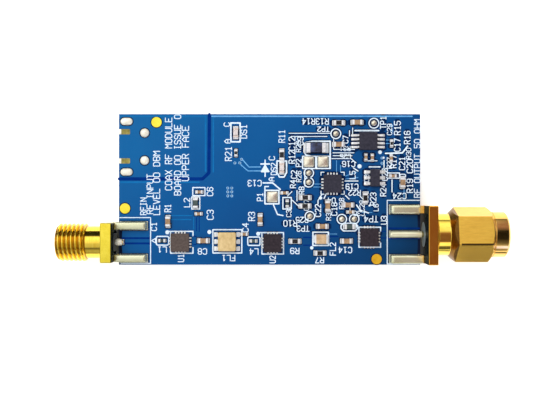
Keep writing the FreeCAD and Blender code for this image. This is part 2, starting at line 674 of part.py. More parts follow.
def chip(x, y, direction, size, kind):
    """[body, end cap, end cap], and a resistor's top film as a fourth piece."""
    length, width, height, cap = CHIP_SIZES[size]
    if kind == "capacitor" and size == "0603":
        height = TALL_CAPACITOR_H
    half_x, half_y = length / 2 - cap, width / 2
    top = LAND_T + height - CHIP_INSET
    body_top = top - FILM_T if kind == "resistor" else top
    pieces = [block(0, 0, half_x, half_y - CHIP_INSET, LAND_T + CHIP_INSET, body_top)]
    pieces += [chip_cap(side, length, width, height, cap) for side in SIDES]
    if kind == "resistor":
        pieces.append(block(0, 0, half_x, half_y - 3 * CHIP_INSET, body_top, top))
    for piece in pieces:
        if direction == "V":
            piece.rotate(Vector(0, 0, 0), Vector(0, 0, 1), 90)
        piece.translate(Vector(x, y, 0))
    return pieces


def save_chips(kind):
    chips = [chip(*entry) for entry in CHIPS if entry[4] == kind]
    save(kind + "_bodies", [pieces[0] for pieces in chips])
    save(kind + "_end_caps", [cap for pieces in chips for cap in pieces[1:3]])
    if kind == "resistor":
        save("resistor_films", [pieces[3] for pieces in chips])


# ---------------------------------------------------------------- light emitting diodes
def save_leds():
    bases, lenses, ends = [], [], []
    lens_z0, lens_z1 = LAND_T + 0.26, LAND_T + 0.62
    for x, y in LEDS:
        bases.append(block(x, y, LED_HALF_W, LED_HALF_BASE, LAND_T, lens_z0))
        for side in SIDES:
            y0, y1 = sorted((y + side * LED_HALF_BASE, y + side * LED_HALF_L))
            ends.append(box(x - LED_HALF_W, x + LED_HALF_W, y0, y1, LAND_T, LAND_T + 0.27))
        lens = prism_x([(y - 0.48, lens_z0), (y + 0.48, lens_z0),
                        (y + 0.40, lens_z1), (y - 0.40, lens_z1)], x - 0.39, x + 0.39)
        lenses.append(fillet(lens, 0.06, at_z(lens_z1)))
    save("led_bases", bases)
    save("led_lenses", lenses)
    save("led_end_terminals", ends)


# ---------------------------------------------------------------- build
save("circuit_board", [circuit_board()])
save("fiducial_marks", [rod_z(FIDUCIAL_R, 0, LAND_T, x, y) for x, y in FIDUCIALS])
save("test_lands", [rod_z(TEST_R, 0, LAND_T, x, y) for x, y in TEST_LANDS])
save("usb_hole_lands", usb_hole_lands(0, LAND_T) + usb_hole_lands(UNDER_Z, -BOARD_T))
save("usb_edge_lands", [land(x, y, 1.75, 0.88) for x, y in EDGE_LANDS])
save("power_lands", [land(x, y, POWER_SIDE, POWER_SIDE) for x, y in POWER_LANDS])
save("chip_part_lands", chip_part_lands())
save("package_lands", package_lands())
save("connector_lands", connector_lands())

save("input_jack_body", [jack_body()])
save("input_jack_insulator", [jack_insulator()])
save("input_jack_contact", [jack_contact()])

save("output_plug_body", [plug_body()])
save("output_plug_insulator", [plug_insulator()])
save("output_plug_pin", [plug_pin()])
save("plug_gasket", [plug_gasket()])
save("retaining_ring", [retaining_ring()])
save("coupling_nut", [coupling_nut()])

contact_strips = usb_contacts()
save("usb_contacts", contact_strips)
save("usb_contact_lands", [land(USB_X1 + 0.50, USB_Y + step, 1.15, 0.36, z=UNDER_Z)
                           for step in row(5, USB_PITCH)])
save("usb_housing", [usb_housing(contact_strips)])
save("usb_shell", [usb_shell()])

save_leadless("amplifier_chips", AMPLIFIERS)
save_leadless("control_chip", [CONTROL_CHIP])
save("regulator_chip", [regulator_body()])
save("regulator_chip_leads", formed_leads(
    REGULATOR, row(4, REGULATOR_PITCH), REGULATOR_SIDE / 2, 2.45, 0.575, 0.30))
save("switch_chip", [switch_body()])
save("switch_chip_leads", formed_leads(
    SWITCH, row(3, SWITCH_PITCH), SWITCH_W / 2, 1.42, 0.65, 0.40))
save_lidded_filter()
save_ceramic_filter()

for chip_kind in ("capacitor", "resistor", "inductor"):
    save_chips(chip_kind)
power_inductor = chip(*POWER_INDUCTOR, "H", "1206", "inductor")
save("power_inductor_body", power_inductor[:1])
save("power_inductor_end_caps", power_inductor[1:])
save_leds()
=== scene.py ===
"""A coaxial RF module: a blue circuit board with a threaded input jack at its -X end and an
output plug with a coupling nut at its +X end. The board lies flat with its upper face towards +Z.
Shapes are given in millimetres from the middle of the board, with z = 0 on its upper face."""
import functools
import itertools
import math
import bpy
import numpy as np
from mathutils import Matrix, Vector

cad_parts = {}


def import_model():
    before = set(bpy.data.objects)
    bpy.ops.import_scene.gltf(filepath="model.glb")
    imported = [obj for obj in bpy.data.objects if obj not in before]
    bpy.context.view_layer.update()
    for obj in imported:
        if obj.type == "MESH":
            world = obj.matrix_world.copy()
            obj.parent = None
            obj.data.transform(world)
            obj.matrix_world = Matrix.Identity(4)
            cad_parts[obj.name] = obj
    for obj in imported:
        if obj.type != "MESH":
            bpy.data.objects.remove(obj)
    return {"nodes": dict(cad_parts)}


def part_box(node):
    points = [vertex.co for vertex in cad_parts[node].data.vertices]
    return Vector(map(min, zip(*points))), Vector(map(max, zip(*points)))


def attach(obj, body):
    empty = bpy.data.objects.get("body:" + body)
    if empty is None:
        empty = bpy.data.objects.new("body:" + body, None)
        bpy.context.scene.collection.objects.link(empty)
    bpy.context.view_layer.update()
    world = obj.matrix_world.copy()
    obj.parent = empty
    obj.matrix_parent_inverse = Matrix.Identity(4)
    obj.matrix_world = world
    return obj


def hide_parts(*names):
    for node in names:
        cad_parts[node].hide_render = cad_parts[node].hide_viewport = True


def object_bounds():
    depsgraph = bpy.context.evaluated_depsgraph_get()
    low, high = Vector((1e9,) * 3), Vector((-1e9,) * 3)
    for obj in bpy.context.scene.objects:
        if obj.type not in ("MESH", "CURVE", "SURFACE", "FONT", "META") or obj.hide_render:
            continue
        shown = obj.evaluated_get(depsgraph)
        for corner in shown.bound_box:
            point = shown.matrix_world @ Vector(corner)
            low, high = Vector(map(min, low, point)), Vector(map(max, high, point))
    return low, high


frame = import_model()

CAD_BOX = [list(map(float, v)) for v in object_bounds()]
SCENE = bpy.context.scene

# ---------------------------------------------------------------- places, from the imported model
board_low, board_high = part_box("circuit_board")
BOARD_MID = (board_low + board_high) / 2
BOARD_LENGTH, BOARD_WIDTH, BOARD_THICKNESS = (board_high - board_low) * 1000
BOARD_TOP = board_high.z
jack_box, plug_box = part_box("input_jack_body"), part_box("output_plug_body")
contact_box, pin_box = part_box("input_jack_contact"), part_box("output_plug_pin")
# the jack's axis in metres; the plug's axis is the frame's own X axis
AXIS_Y = (contact_box[0].y + contact_box[1].y) / 2
AXIS_Z = (contact_box[0].z + contact_box[1].z) / 2


def at(x, y, z=0.0):
    """Board millimetres to the frame's metres."""
    return (BOARD_MID.x + x / 1000, BOARD_MID.y + y / 1000, BOARD_TOP + z / 1000)


def frame_x(x):
    return at(x, 0)[0]


def to_mm(v):
    """The frame's metres to board millimetres."""
    return ((v[0] - BOARD_MID.x) * 1000, (v[1] - BOARD_MID.y) * 1000, (v[2] - BOARD_TOP) * 1000)


jack_low, jack_high = map(to_mm, jack_box)
plug_low, plug_high = map(to_mm, plug_box)
JACK_Y, JACK_Z = to_mm((0, AXIS_Y, AXIS_Z))[1:]
PLUG_Y, PLUG_Z = to_mm((0, 0.0, 0.0))[1:]


def solids(node):
    """(low, high) corners of a node's separate solids, in board millimetres, sorted."""
    mesh = frame["nodes"][node].data
    coords = np.array([v.co for v in mesh.vertices])
    ids, point = {}, []
    for c in np.round(coords * 1e7).astype(np.int64):
        point.append(ids.setdefault(tuple(c), len(ids)))
    parent = list(range(len(ids)))

    def find(a):
        while parent[a] != a:
            parent[a] = parent[parent[a]]
            a = parent[a]
        return a
    for polygon in mesh.polygons:
        first, *others = [point[v] for v in polygon.vertices]
        for other in others:
            a, b = find(first), find(other)
            if a != b:
                parent[b] = a
    groups = {}
    for i, c in enumerate(coords):
        groups.setdefault(find(point[i]), []).append(c)
    out = [(to_mm(np.min(g, axis=0)), to_mm(np.max(g, axis=0))) for g in groups.values()]
    out.sort()
    return out


# ---------------------------------------------------------------- node graphs
def srgb(r, g, b):
    def linear(c):
        return c / 12.92 if c <= 0.04045 else ((c + 0.055) / 1.055) ** 2.4
    return (linear(r / 255), linear(g / 255), linear(b / 255), 1.0)


class Graph:
    """A node tree with short ways to add nodes. An input takes a value or a socket to link."""
    def __init__(self, tree):
        self.tree = tree

    def fill(self, node, inputs):
        for key, value in inputs.items():
            if isinstance(value, bpy.types.NodeSocket):
                self.tree.links.new(value, node.inputs[key])
            else:
                node.inputs[key].default_value = value

    def node(self, kind, inputs=None, **settings):
        node = self.tree.nodes.new("ShaderNode" + kind)
        for key, value in settings.items():
            setattr(node, key, value)
        self.fill(node, inputs or {})
        return node

    def math(self, operation, *values):
        return self.node("Math", dict(enumerate(values)), operation=operation).outputs[0]

    def product(self, *factors):
        return functools.reduce(lambda a, b: self.math("MULTIPLY", a, b), factors)

    def between(self, value, low, high):
        return self.product(self.math("GREATER_THAN", value, low),
                            self.math("LESS_THAN", value, high))

    def map_range(self, value, low, high, to_low=0.0, to_high=1.0, **settings):
        inputs = {"Value": value, "From Min": low, "From Max": high,
                  "To Min": to_low, "To Max": to_high}
        return self.node("MapRange", inputs, **settings).outputs["Result"]

    def mix(self, factor, first, second, blend="MIX"):
        inputs = {"Fac": factor, "Color1": first, "Color2": second}
        return self.node("MixRGB", inputs, blend_type=blend).outputs["Color"]

    def ramp(self, factor, stops):
        """stops are (position, colour); a single number is a grey."""
        node = self.node("ValToRGB", {"Fac": factor})
        elements = node.color_ramp.elements
        while len(elements) < len(stops):
            elements.new(0.5)
        for element, (position, colour) in zip(elements, stops):
            element.position = position
            element.color = colour if isinstance(colour, tuple) else (colour,) * 3 + (1.0,)
        return node.outputs["Color"]

    def tones(self, grain, dark, light):
        return self.ramp(grain, [(0.30, srgb(*dark)), (0.72, srgb(*light))])

    def coords(self):
        return self.node("TexCoord").outputs["Object"]

    def xyz(self, vector):
        return self.node("SeparateXYZ", {0: vector}).outputs

    def geometry(self, output):
        return self.node("NewGeometry").outputs[output]

    def light_path(self, output):
        return self.node("LightPath").outputs[output]

    def noise(self, scale, detail=2.0, roughness=0.5, stretch=(1, 1, 1), seed=0.0):
        moved = self.node("Mapping", {"Scale": stretch, "Vector": self.coords(),
                                      "Location": (seed, seed * 0.7, seed * 1.3)})
        inputs = {"Scale": scale, "Detail": detail, "Roughness": roughness,
                  "Vector": moved.outputs["Vector"]}
        return self.node("TexNoise", inputs).outputs["Fac"]

    def bevel(self, radius):
        return self.node("Bevel", {"Radius": radius}, samples=6).outputs["Normal"]

    def leaned(self, normal, tilt):
        """A normal leaned by a small vector, as turned and sheared faces lean."""
        total = self.node("VectorMath", {0: normal, 1: tilt}, operation="ADD").outputs[0]
        return self.node("VectorMath", {0: total}, operation="NORMALIZE").outputs[0]

    def bump(self, bsdf, height, strength, distance, normal=None):
        inputs = {"Strength": strength, "Distance": distance, "Height": height}
        if normal is not None:
            inputs["Normal"] = normal
        self.fill(bsdf, {"Normal": self.node("Bump", inputs).outputs["Normal"]})


# ---------------------------------------------------------------- materials
materials = {}


def new_material(name):
    material = bpy.data.materials.new(name)
    material.use_nodes = True
    materials[name] = material
    graph = Graph(material.node_tree)
    return graph, graph.tree.nodes["Principled BSDF"]


def shade_thread_root(graph, colour):
    """Paints shade into the jack's thread towards its root, by distance from the jack's axis."""
    root_radius, clear_radius = 0.00275, 0.00288
    start, end = jack_box[0].x - 0.001, jack_box[0].x + 0.00492
    xyz = graph.xyz(graph.coords())
    dy = graph.math("SUBTRACT", xyz["Y"], AXIS_Y)
    dz = graph.math("SUBTRACT", xyz["Z"], AXIS_Z)
    square = graph.math("ADD", graph.product(dy, dy), graph.product(dz, dz))
    radius = graph.math("SQRT", square, 0.0)
    height = graph.map_range(radius, root_radius, clear_radius)
    factor = graph.product(graph.between(xyz["X"], start, end),
                           graph.math("SUBTRACT", 1.0, height))
    return graph.mix(factor, colour, (0.50, 0.33, 0.14, 1), "MULTIPLY")


def painted_end_face_shade(graph, sign, start, end, weight):
    """Marks faces that look along sign X between start and end, in millimetres, to paint shade on
    them. It shows only when the camera looks straight down; from elsewhere the plating shows."""
    facing = graph.xyz(graph.geometry("True Normal"))["X"]
    x = graph.xyz(graph.coords())["X"]
    incoming = graph.xyz(graph.geometry("Incoming"))["Z"]
    return graph.product(
        graph.math("GREATER_THAN" if sign > 0 else "LESS_THAN", facing, 0.5 * sign),
        graph.math("GREATER_THAN", x, frame_x(start)),
        graph.math("LESS_THAN", x, frame_x(end)),
        graph.map_range(incoming, 0.935, 0.968),
        graph.light_path("Is Camera Ray"),
        weight)


def speckled(name, dark, light, metallic, roughness, scale, bump_strength, bump_distance,
             bevel_radius=None, seed=0.0, stretch=(1, 1, 1), specular=0.5, coat=0.0,
             zones=(), lean=None, thread_root=False, painted_face_shade=None):
    """Two sRGB tones from noise, a roughness range and a fine bump. Each zone (x0, x1, dark,
    light) changes to its own tones from x0 to x1 mm onwards. lean tilts the normal in x and y.
    painted_face_shade is (sign, start, end, weight) for painted_end_face_shade, which paints shade on
    those faces."""
    graph, bsdf = new_material(name)
    grain = graph.noise(scale, detail=3.0, roughness=0.6, stretch=stretch, seed=seed)
    colour = graph.tones(grain, dark, light)
    for start, end, zone_dark, zone_light in zones:
        x = graph.xyz(graph.coords())["X"]
        colour = graph.mix(graph.map_range(x, frame_x(start), frame_x(end)), colour,
                           graph.tones(grain, zone_dark, zone_light))
    # painted shade in the root of the jack's thread
    if thread_root:
        colour = shade_thread_root(graph, colour)
    shine = {"Metallic": metallic, "Specular IOR Level": specular}
    graph.fill(bsdf, shine)
    # painted shade: the marked faces turn near-black and lose their shine
    if painted_face_shade:
        mask = painted_end_face_shade(graph, *painted_face_shade)
        colour = graph.mix(mask, colour, (0.001, 0.007, 0.008, 1))
        for key, full in shine.items():
            graph.fill(bsdf, {key: graph.map_range(mask, 0.0, 1.0, full, 0.0)})
    wear = graph.noise(scale * 0.37, stretch=stretch, seed=seed + 3.1)
    graph.fill(bsdf, {
        "Base Color": colour,
        "Roughness": graph.ramp(wear, [(0.30, roughness[0]), (0.75, roughness[1])])})
    if coat:
        graph.fill(bsdf, {"Coat Weight": coat, "Coat Roughness": 0.12})
    normal = graph.bevel(bevel_radius) if bevel_radius else None
    if lean:
        normal = graph.leaned(normal, (*lean, 0.0))
    fine = graph.noise(scale * 2.3, roughness=0.6, stretch=stretch, seed=seed + 7.7)
    graph.bump(bsdf, fine, bump_strength, bump_distance, normal)


GOLD_DARK, GOLD_LIGHT = (226, 170, 58), (247, 205, 96)
WHITE_DARK, WHITE_LIGHT = (226, 224, 214), (244, 243, 236)

# name, dark and light sRGB tones, metallic, roughness range, noise scale, bump strength,
# bump distance (m), bevel radius (m), seed, and other named arguments of speckled
SPECKLED = [
    ("gold_plating", GOLD_DARK, GOLD_LIGHT, 1.0, (0.12, 0.20), 700, 0.10, 1e-5, 6e-5, 0.0),
    # painted shade on the -X faces from x = 25.0 to 25.6 mm, by the board's edge
    ("gold_plug", (186, 164, 92), (226, 206, 140), 1.0, (0.14, 0.22), 700, 0.10, 1e-5, 6e-5, 0.0,
     dict(lean=(0.030, 0.0), painted_face_shade=(-1, 25.0, 25.6, 0.995),
          zones=[(25.30, 25.40, (236, 172, 60), (246, 191, 80)),
                 (27.07, 27.12, (242, 190, 70), (252, 212, 98))])),
    ("gold_tail", (178, 158, 96), (222, 206, 150), 1.0, (0.14, 0.22), 700, 0.10, 1e-5, 6e-5, 0.4,
     dict(zones=[(25.50, 25.60, GOLD_DARK, GOLD_LIGHT)])),
    # the turned barrel carries painted shade in its thread's root
    ("gold_turned", (238, 198, 66), (250, 220, 92), 1.0, (0.10, 0.17), 900, 0.16, 1e-5, 4e-5, 1.0,
     dict(stretch=(6, 1, 1), lean=(-0.030, 0.0), thread_root=True)),
    # painted shade on the flange's +X face, by the board's edge
    ("gold_flange", (212, 190, 54), (224, 204, 72), 1.0, (0.14, 0.22), 900, 0.16, 1e-5, 6e-5, 1.5,
     dict(lean=(-0.030, 0.10), painted_face_shade=(1, -25.8, -25.4, 0.985))),
    ("leg_plating", (214, 196, 140), (240, 228, 184), 0.95, (0.16, 0.3), 900, 0.2, 2e-5, 5e-5, 6.5,
     dict(stretch=(0.4, 1, 1))),
    ("matt_tin", (212, 212, 214), (244, 244, 246), 0.38, (0.26, 0.42), 2200, 0.35, 2e-5, 3e-5, 4.0),
    ("solder", (216, 216, 216), (250, 250, 250), 0.42, (0.16, 0.30), 1300, 0.35, 3e-5, None, 5.0),
    ("leg_solder", (210, 210, 168), (232, 234, 204), 0.74, (0.19, 0.27), 400, 0.03, 1e-5, None, 6.0,
     dict(stretch=(0.4, 1, 1))),
    ("tail_solder", (204, 202, 168), (238, 236, 206), 0.45, (0.19, 0.27), 400, 0.03, 1e-5, None,
     6.2, dict(stretch=(0.4, 1, 1))),
    ("tinned_land", (190, 192, 190), (228, 228, 224), 0.6, (0.22, 0.4), 1700, 0.3, 2e-5, None, 7.0),
    ("usb_steel", (172, 174, 178), (214, 216, 220), 1.0, (0.24, 0.36), 600, 0.2, 1e-5, 5e-5, 8.0,
     dict(stretch=(1, 8, 1))),
    # its end behind the flange, from x = -25.62 mm on, is painted shade in near-black tones
    ("white_insulator_jack", WHITE_DARK, WHITE_LIGHT, 0.0, (0.42, 0.6), 900, 0.15, 1e-5, 3e-5, 9.2,
     dict(zones=[(-25.70, -25.62, (30, 34, 36), (52, 56, 58))])),
    # grey tones up to x = 25.48 mm are painted shade where the insulator faces the board's edge;
    # white from x = 25.56 mm on
    ("white_insulator_plug", (104, 116, 116), (132, 142, 142), 0.0, (0.42, 0.6), 900, 0.15, 1e-5,
     3e-5, 9.4, dict(zones=[(25.48, 25.56, WHITE_DARK, WHITE_LIGHT)])),
    ("gasket_silicone", (150, 46, 26), (186, 66, 36), 0.0, (0.45, 0.65), 900, 0.2, 2e-5, 3e-5, 10.0),
    ("spring_bronze", (150, 108, 52), (190, 142, 76), 1.0, (0.25, 0.4), 900, 0.2, 1e-5, 3e-5, 11.0),
    ("black_moulding", (20, 20, 22), (36, 36, 38), 0.0, (0.45, 0.62), 1500, 0.3, 1e-5, 4e-5, 12.0),
    ("brown_grey_moulding", (70, 60, 56), (90, 78, 74), 0.0, (0.42, 0.62), 2600, 0.35, 1.2e-5, 5e-5,
     13.0, dict(specular=0.2, zones=[(-6, -2, (34, 28, 34), (52, 44, 50))])),
    ("grey_moulding", (36, 36, 46), (54, 52, 64), 0.0, (0.42, 0.62), 2600, 0.35, 1.2e-5, 5e-5, 14.0,
     dict(specular=0.2)),
    ("dark_ceramic", (40, 34, 30), (62, 54, 46), 0.0, (0.4, 0.6), 1800, 0.3, 1e-5, 3e-5, 15.0),
    ("tan_lid", (186, 156, 102), (222, 196, 144), 0.15, (0.34, 0.5), 1100, 0.3, 1.5e-5, 6e-5, 16.0),
    ("beige_ceramic", (168, 136, 104), (206, 176, 138), 0.0, (0.35, 0.55), 1700, 0.3, 1e-5, 3e-5,
     17.0),
    ("tan_ceramic", (128, 100, 74), (178, 146, 112), 0.0, (0.35, 0.55), 2000, 0.35, 1e-5, 3e-5,
     18.0),
    ("white_alumina", (212, 212, 206), (238, 238, 232), 0.0, (0.35, 0.5), 2000, 0.3, 1e-5, 3e-5,
     19.0),
    ("black_glaze", (14, 14, 16), (32, 32, 36), 0.0, (0.18, 0.32), 2000, 0.2, 1e-5, 3e-5, 20.0),
    ("green_ferrite", (40, 52, 52), (74, 88, 84), 0.0, (0.3, 0.5), 1900, 0.3, 1e-5, 3e-5, 21.0),
    # the power inductor's body: the light bluish tone in broad noise patches is a painted sheen
    ("black_ferrite", (14, 16, 26), (72, 88, 132), 0.0, (0.12, 0.24), 620, 0.2, 1e-5, 1.2e-4, 22.0,
     dict(coat=0.8)),
    ("led_substrate", (206, 208, 192), (232, 234, 220), 0.0, (0.4, 0.6), 1500, 0.2, 1e-5, 3e-5,
     23.0),
    ("pad_solder", (212, 202, 178), (252, 246, 226), 0.78, (0.16, 0.25), 800, 0.35, 3e-5, None, 5.5),
    ("post_solder", (228, 222, 204), (252, 249, 236), 0.30, (0.30, 0.42), 700, 0.15, 2e-5, None,
     5.7),
    # painted shade: the fiducials from x = 6 mm on take darker, more orange tones
    ("fiducial_gold", (226, 206, 44), (244, 226, 70), 0.25, (0.30, 0.42), 900, 0.2, 1e-5, None, 3.3,
     dict(zones=[(0, 6, (204, 150, 14), (226, 178, 34))])),
    ("edge_land_gold", (120, 112, 50), (164, 152, 82), 0.45, (0.30, 0.5), 1600, 0.4, 2e-5, None,
     3.6),
    ("led_end", (196, 176, 168), (230, 214, 206), 0.3, (0.3, 0.45), 1600, 0.2, 1e-5, None, 3.8),
    ("via_mask", (96, 152, 204), (140, 188, 226), 0.0, (0.3, 0.45), 1600, 0.2, 1e-5, None, 3.9),
    ("legend_ink", (196, 214, 230), (228, 238, 248), 0.0, (0.5, 0.75), 2600, 0.5, 1e-5, None, 24.0,
     dict(specular=0.3)),
    ("masked_trace", (70, 138, 196), (104, 170, 218), 0.0, (0.3, 0.45), 900, 0.2, 1e-5, None, 25.0),
    ("masked_gap", (0, 36, 104), (0, 46, 122), 0.0, (0.45, 0.6), 900, 0.2, 1e-5, None, 26.0,
     dict(specular=0.04)),
    ("bare_laminate_mask", (0, 26, 62), (4, 38, 82), 0.0, (0.4, 0.55), 700, 0.2, 1e-5, None, 26.2,
     dict(specular=0.06)),
    ("pour_edge", (8, 92, 150), (14, 104, 166), 0.0, (0.4, 0.5), 900, 0.2, 1e-5, None, 26.5,
     dict(specular=0.1)),
    # dark margins round the lands, and the painted shade round parts and by the connectors
    ("mask_clearance", (8, 16, 38), (18, 30, 58), 0.0, (0.5, 0.65), 900, 0.2, 1e-5, None, 27.0,
     dict(specular=0.05)),
]


def nut_corner():
    """Angle of one corner of the hexagon about the plug's axis, from the nut's own mesh."""
    vertices = frame["nodes"]["coupling_nut"].data.vertices
    corner = max((v.co for v in vertices), key=lambda c: round(math.hypot(c.y, c.z), 7))
    return math.atan2(corner.z, corner.y)


def nut_material():
    """Plated brass, satin on the hexagon and polished on the collars at either end, with painted
    shade on the rear taper and a painted dark reflection along one corner of the hexagon.
    """
    graph, bsdf = new_material("gold_nut")
    grain = graph.noise(800, detail=3.0, roughness=0.6, stretch=(1, 5, 5), seed=2.0)
    xyz = graph.xyz(graph.coords())
    x = xyz["X"]

    def before(limit):
        return graph.math("LESS_THAN", x, frame_x(limit))

    def beyond(limit):
        return graph.math("GREATER_THAN", x, frame_x(limit))

    colour = graph.tones(grain, (232, 182, 72), (242, 196, 84))
    # painted shade: dark brown tones on the rear taper
    cone = graph.between(x, frame_x(29.39), frame_x(30.49))
    for mask, dark, light in ((cone, (112, 78, 32), (138, 98, 42)),
                              (before(29.37), (240, 204, 78), (250, 220, 100)),
                              (beyond(36.29), (236, 186, 96), (246, 202, 112))):
        colour = graph.mix(mask, colour, graph.tones(grain, dark, light))

    # a painted dark reflection: a thin dark line along the hexagon's corner on the -Y side, above z =
    # 3 mm in the frame
    turn = graph.math("SUBTRACT", graph.math("ARCTAN2", xyz["Z"], xyz["Y"]), nut_corner())
    from_corner = graph.math("PINGPONG", turn, math.pi / 6)
    position = graph.xyz(graph.geometry("Position"))
    line = graph.product(graph.math("LESS_THAN", position["Y"], 0.0),
                         graph.math("GREATER_THAN", position["Z"], 0.003),
                         graph.map_range(from_corner, 0.028, 0.052, 1.0, 0.0),
                         graph.between(x, frame_x(30.79), frame_x(36.19)),
                         0.92)
    collar = beyond(36.29)
    polished = graph.math("MAXIMUM", collar, before(29.31))
    satin = graph.ramp(graph.noise(200, stretch=(1, 3, 3), seed=2.4), [(0.3, 0.21), (0.75, 0.25)])
    graph.fill(bsdf, {"Metallic": 1.0,
                      "Base Color": graph.mix(line, colour, (0.030, 0.014, 0.004, 1)),
                      "Roughness": graph.mix(polished, satin, (0.09, 0.09, 0.09, 1.0))})

    # every face leans a little towards +X, the turned side of the +X collar more
    slope = graph.math("ABSOLUTE", graph.xyz(graph.geometry("Normal"))["X"])
    turned = graph.product(collar, graph.math("LESS_THAN", slope, 0.4))
    tilt = graph.node("CombineXYZ", {0: graph.math("MULTIPLY_ADD", turned, 0.070, 0.030)})
    normal = graph.leaned(graph.bevel(1.5e-4), tilt.outputs[0])
    fine = graph.noise(1800, roughness=0.6, stretch=(1, 5, 5), seed=9.0)
    graph.bump(bsdf, fine, strength=0.07, distance=0.6e-5, normal=normal)


def lens_material():
    """Resin of the LED lenses, its pinkish white a painted highlight."""
    graph, bsdf = new_material("led_resin")
    colour = graph.ramp(graph.noise(1400, seed=28.0),
                        [(0.3, srgb(240, 224, 222)), (0.7, srgb(252, 242, 240))])
    graph.fill(bsdf, {
        "Base Color": colour,
        "Roughness": graph.ramp(graph.noise(900, seed=29.0), [(0.3, 0.12), (0.7, 0.25)]),
        "Transmission Weight": 0.35,
        "Coat Weight": 0.5})
    graph.bump(bsdf, graph.noise(2500, seed=30.0), strength=0.1, distance=1e-5,
               normal=graph.bevel(6e-5))


def board_material():
    """Blue mask over copper pour on the faces, laminate on the sides and in the holes."""
    graph, bsdf = new_material("blue_board")
    coords = graph.coords()
    xyz = graph.xyz(coords)
    # painted fall-off of light: the mask is lightest towards the -X, +Y corner and darkest towards
    # the +X, -Y corner
    along = graph.map_range(xyz["X"], board_low.x, board_high.x)
    across = graph.map_range(xyz["Y"], board_high.y, board_low.y)
    shade_depth = graph.math("MULTIPLY_ADD", along, 0.62, graph.product(across, 0.38))
    mask = graph.ramp(shade_depth, [(0.0, srgb(6, 90, 146)), (0.30, srgb(2, 78, 136)),
                              (0.60, srgb(0, 66, 122)), (1.0, srgb(0, 46, 84))])
    cloud = graph.ramp(graph.noise(90, detail=4.0, roughness=0.55, seed=31.0),
                       [(0.3, (0.88, 0.92, 0.95, 1.0)), (0.7, (1.08, 1.05, 1.03, 1.0))])
    mask = graph.mix(1.0, mask, cloud, "MULTIPLY")
    laminate = graph.ramp(
        graph.noise(700, detail=4.0, roughness=0.6, stretch=(1, 1, 9), seed=33.0),
        [(0.3, srgb(150, 158, 112)), (0.55, srgb(190, 192, 146)), (0.8, srgb(214, 212, 172))])
    upright = graph.math("ABSOLUTE", graph.xyz(graph.geometry("Normal"))["Z"])
    is_face = graph.math("GREATER_THAN", upright, 0.6)
    sheen = graph.noise(260, detail=3.0, seed=34.0)
    graph.fill(bsdf, {"Base Color": graph.mix(is_face, laminate, mask),
                      "Roughness": graph.ramp(sheen, [(0.3, 0.30), (0.7, 0.42)]),
                      "Specular IOR Level": 0.16})
    # glass weave showing faintly through the mask
    weave = graph.product(*(
        graph.node("TexWave", {"Scale": 420.0, "Distortion": 0.6, "Vector": coords},
                   wave_type="BANDS", bands_direction=axis).outputs["Fac"] for axis in "XY"))
    grain = graph.noise(900, detail=3.0, roughness=0.6, seed=35.0)
    graph.bump(bsdf, graph.math("ADD", weave, grain), strength=0.12, distance=1.2e-5,
               normal=graph.bevel(8e-5))


for *columns, last in SPECKLED:
    if isinstance(last, dict):
        speckled(*columns, **last)
    else:
        speckled(*columns, last)
nut_material()
lens_material()
board_material()

NODE_MATERIAL = {
    "circuit_board": "blue_board", "fiducial_marks": "fiducial_gold",
    "usb_edge_lands": "edge_land_gold", "usb_hole_lands": "tinned_land",
    "test_lands": "tinned_land", "power_lands": "tinned_land",
    "chip_part_lands": "tinned_land", "package_lands": "tinned_land",
    "connector_lands": "tinned_land", "usb_contact_lands": "tinned_land",
    "input_jack_body": "gold_turned", "input_jack_contact": "gold_plating",
    "input_jack_insulator": "white_insulator_jack", "output_plug_body": "gold_plug",
    "output_plug_pin": "gold_tail", "output_plug_insulator": "white_insulator_plug",
    "plug_gasket": "gasket_silicone", "retaining_ring": "spring_bronze",
    "coupling_nut": "gold_nut", "usb_shell": "usb_steel",
    "usb_housing": "black_moulding", "usb_contacts": "gold_plating",
    "amplifier_chips": "brown_grey_moulding", "amplifier_chip_terminals": "matt_tin",
    "control_chip": "grey_moulding", "control_chip_terminals": "matt_tin",
    "regulator_chip": "grey_moulding", "regulator_chip_leads": "matt_tin",
    "switch_chip": "grey_moulding", "switch_chip_leads": "matt_tin",
    "filter_base": "dark_ceramic", "filter_lid": "tan_lid", "filter_terminals": "matt_tin",
    "ceramic_filter": "beige_ceramic", "ceramic_filter_terminals": "matt_tin",
    "capacitor_bodies": "tan_ceramic", "capacitor_end_caps": "matt_tin",
    "resistor_bodies": "white_alumina", "resistor_films": "black_glaze",
    "resistor_end_caps": "matt_tin", "inductor_bodies": "green_ferrite",
    "inductor_end_caps": "matt_tin", "power_inductor_body": "black_ferrite",
    "power_inductor_end_caps": "matt_tin", "led_bases": "led_substrate",
    "led_lenses": "led_resin", "led_end_terminals": "led_end",
}
for name, node_object in frame["nodes"].items():
    node_object.data.materials.clear()
    node_object.data.materials.append(materials[NODE_MATERIAL[name]])


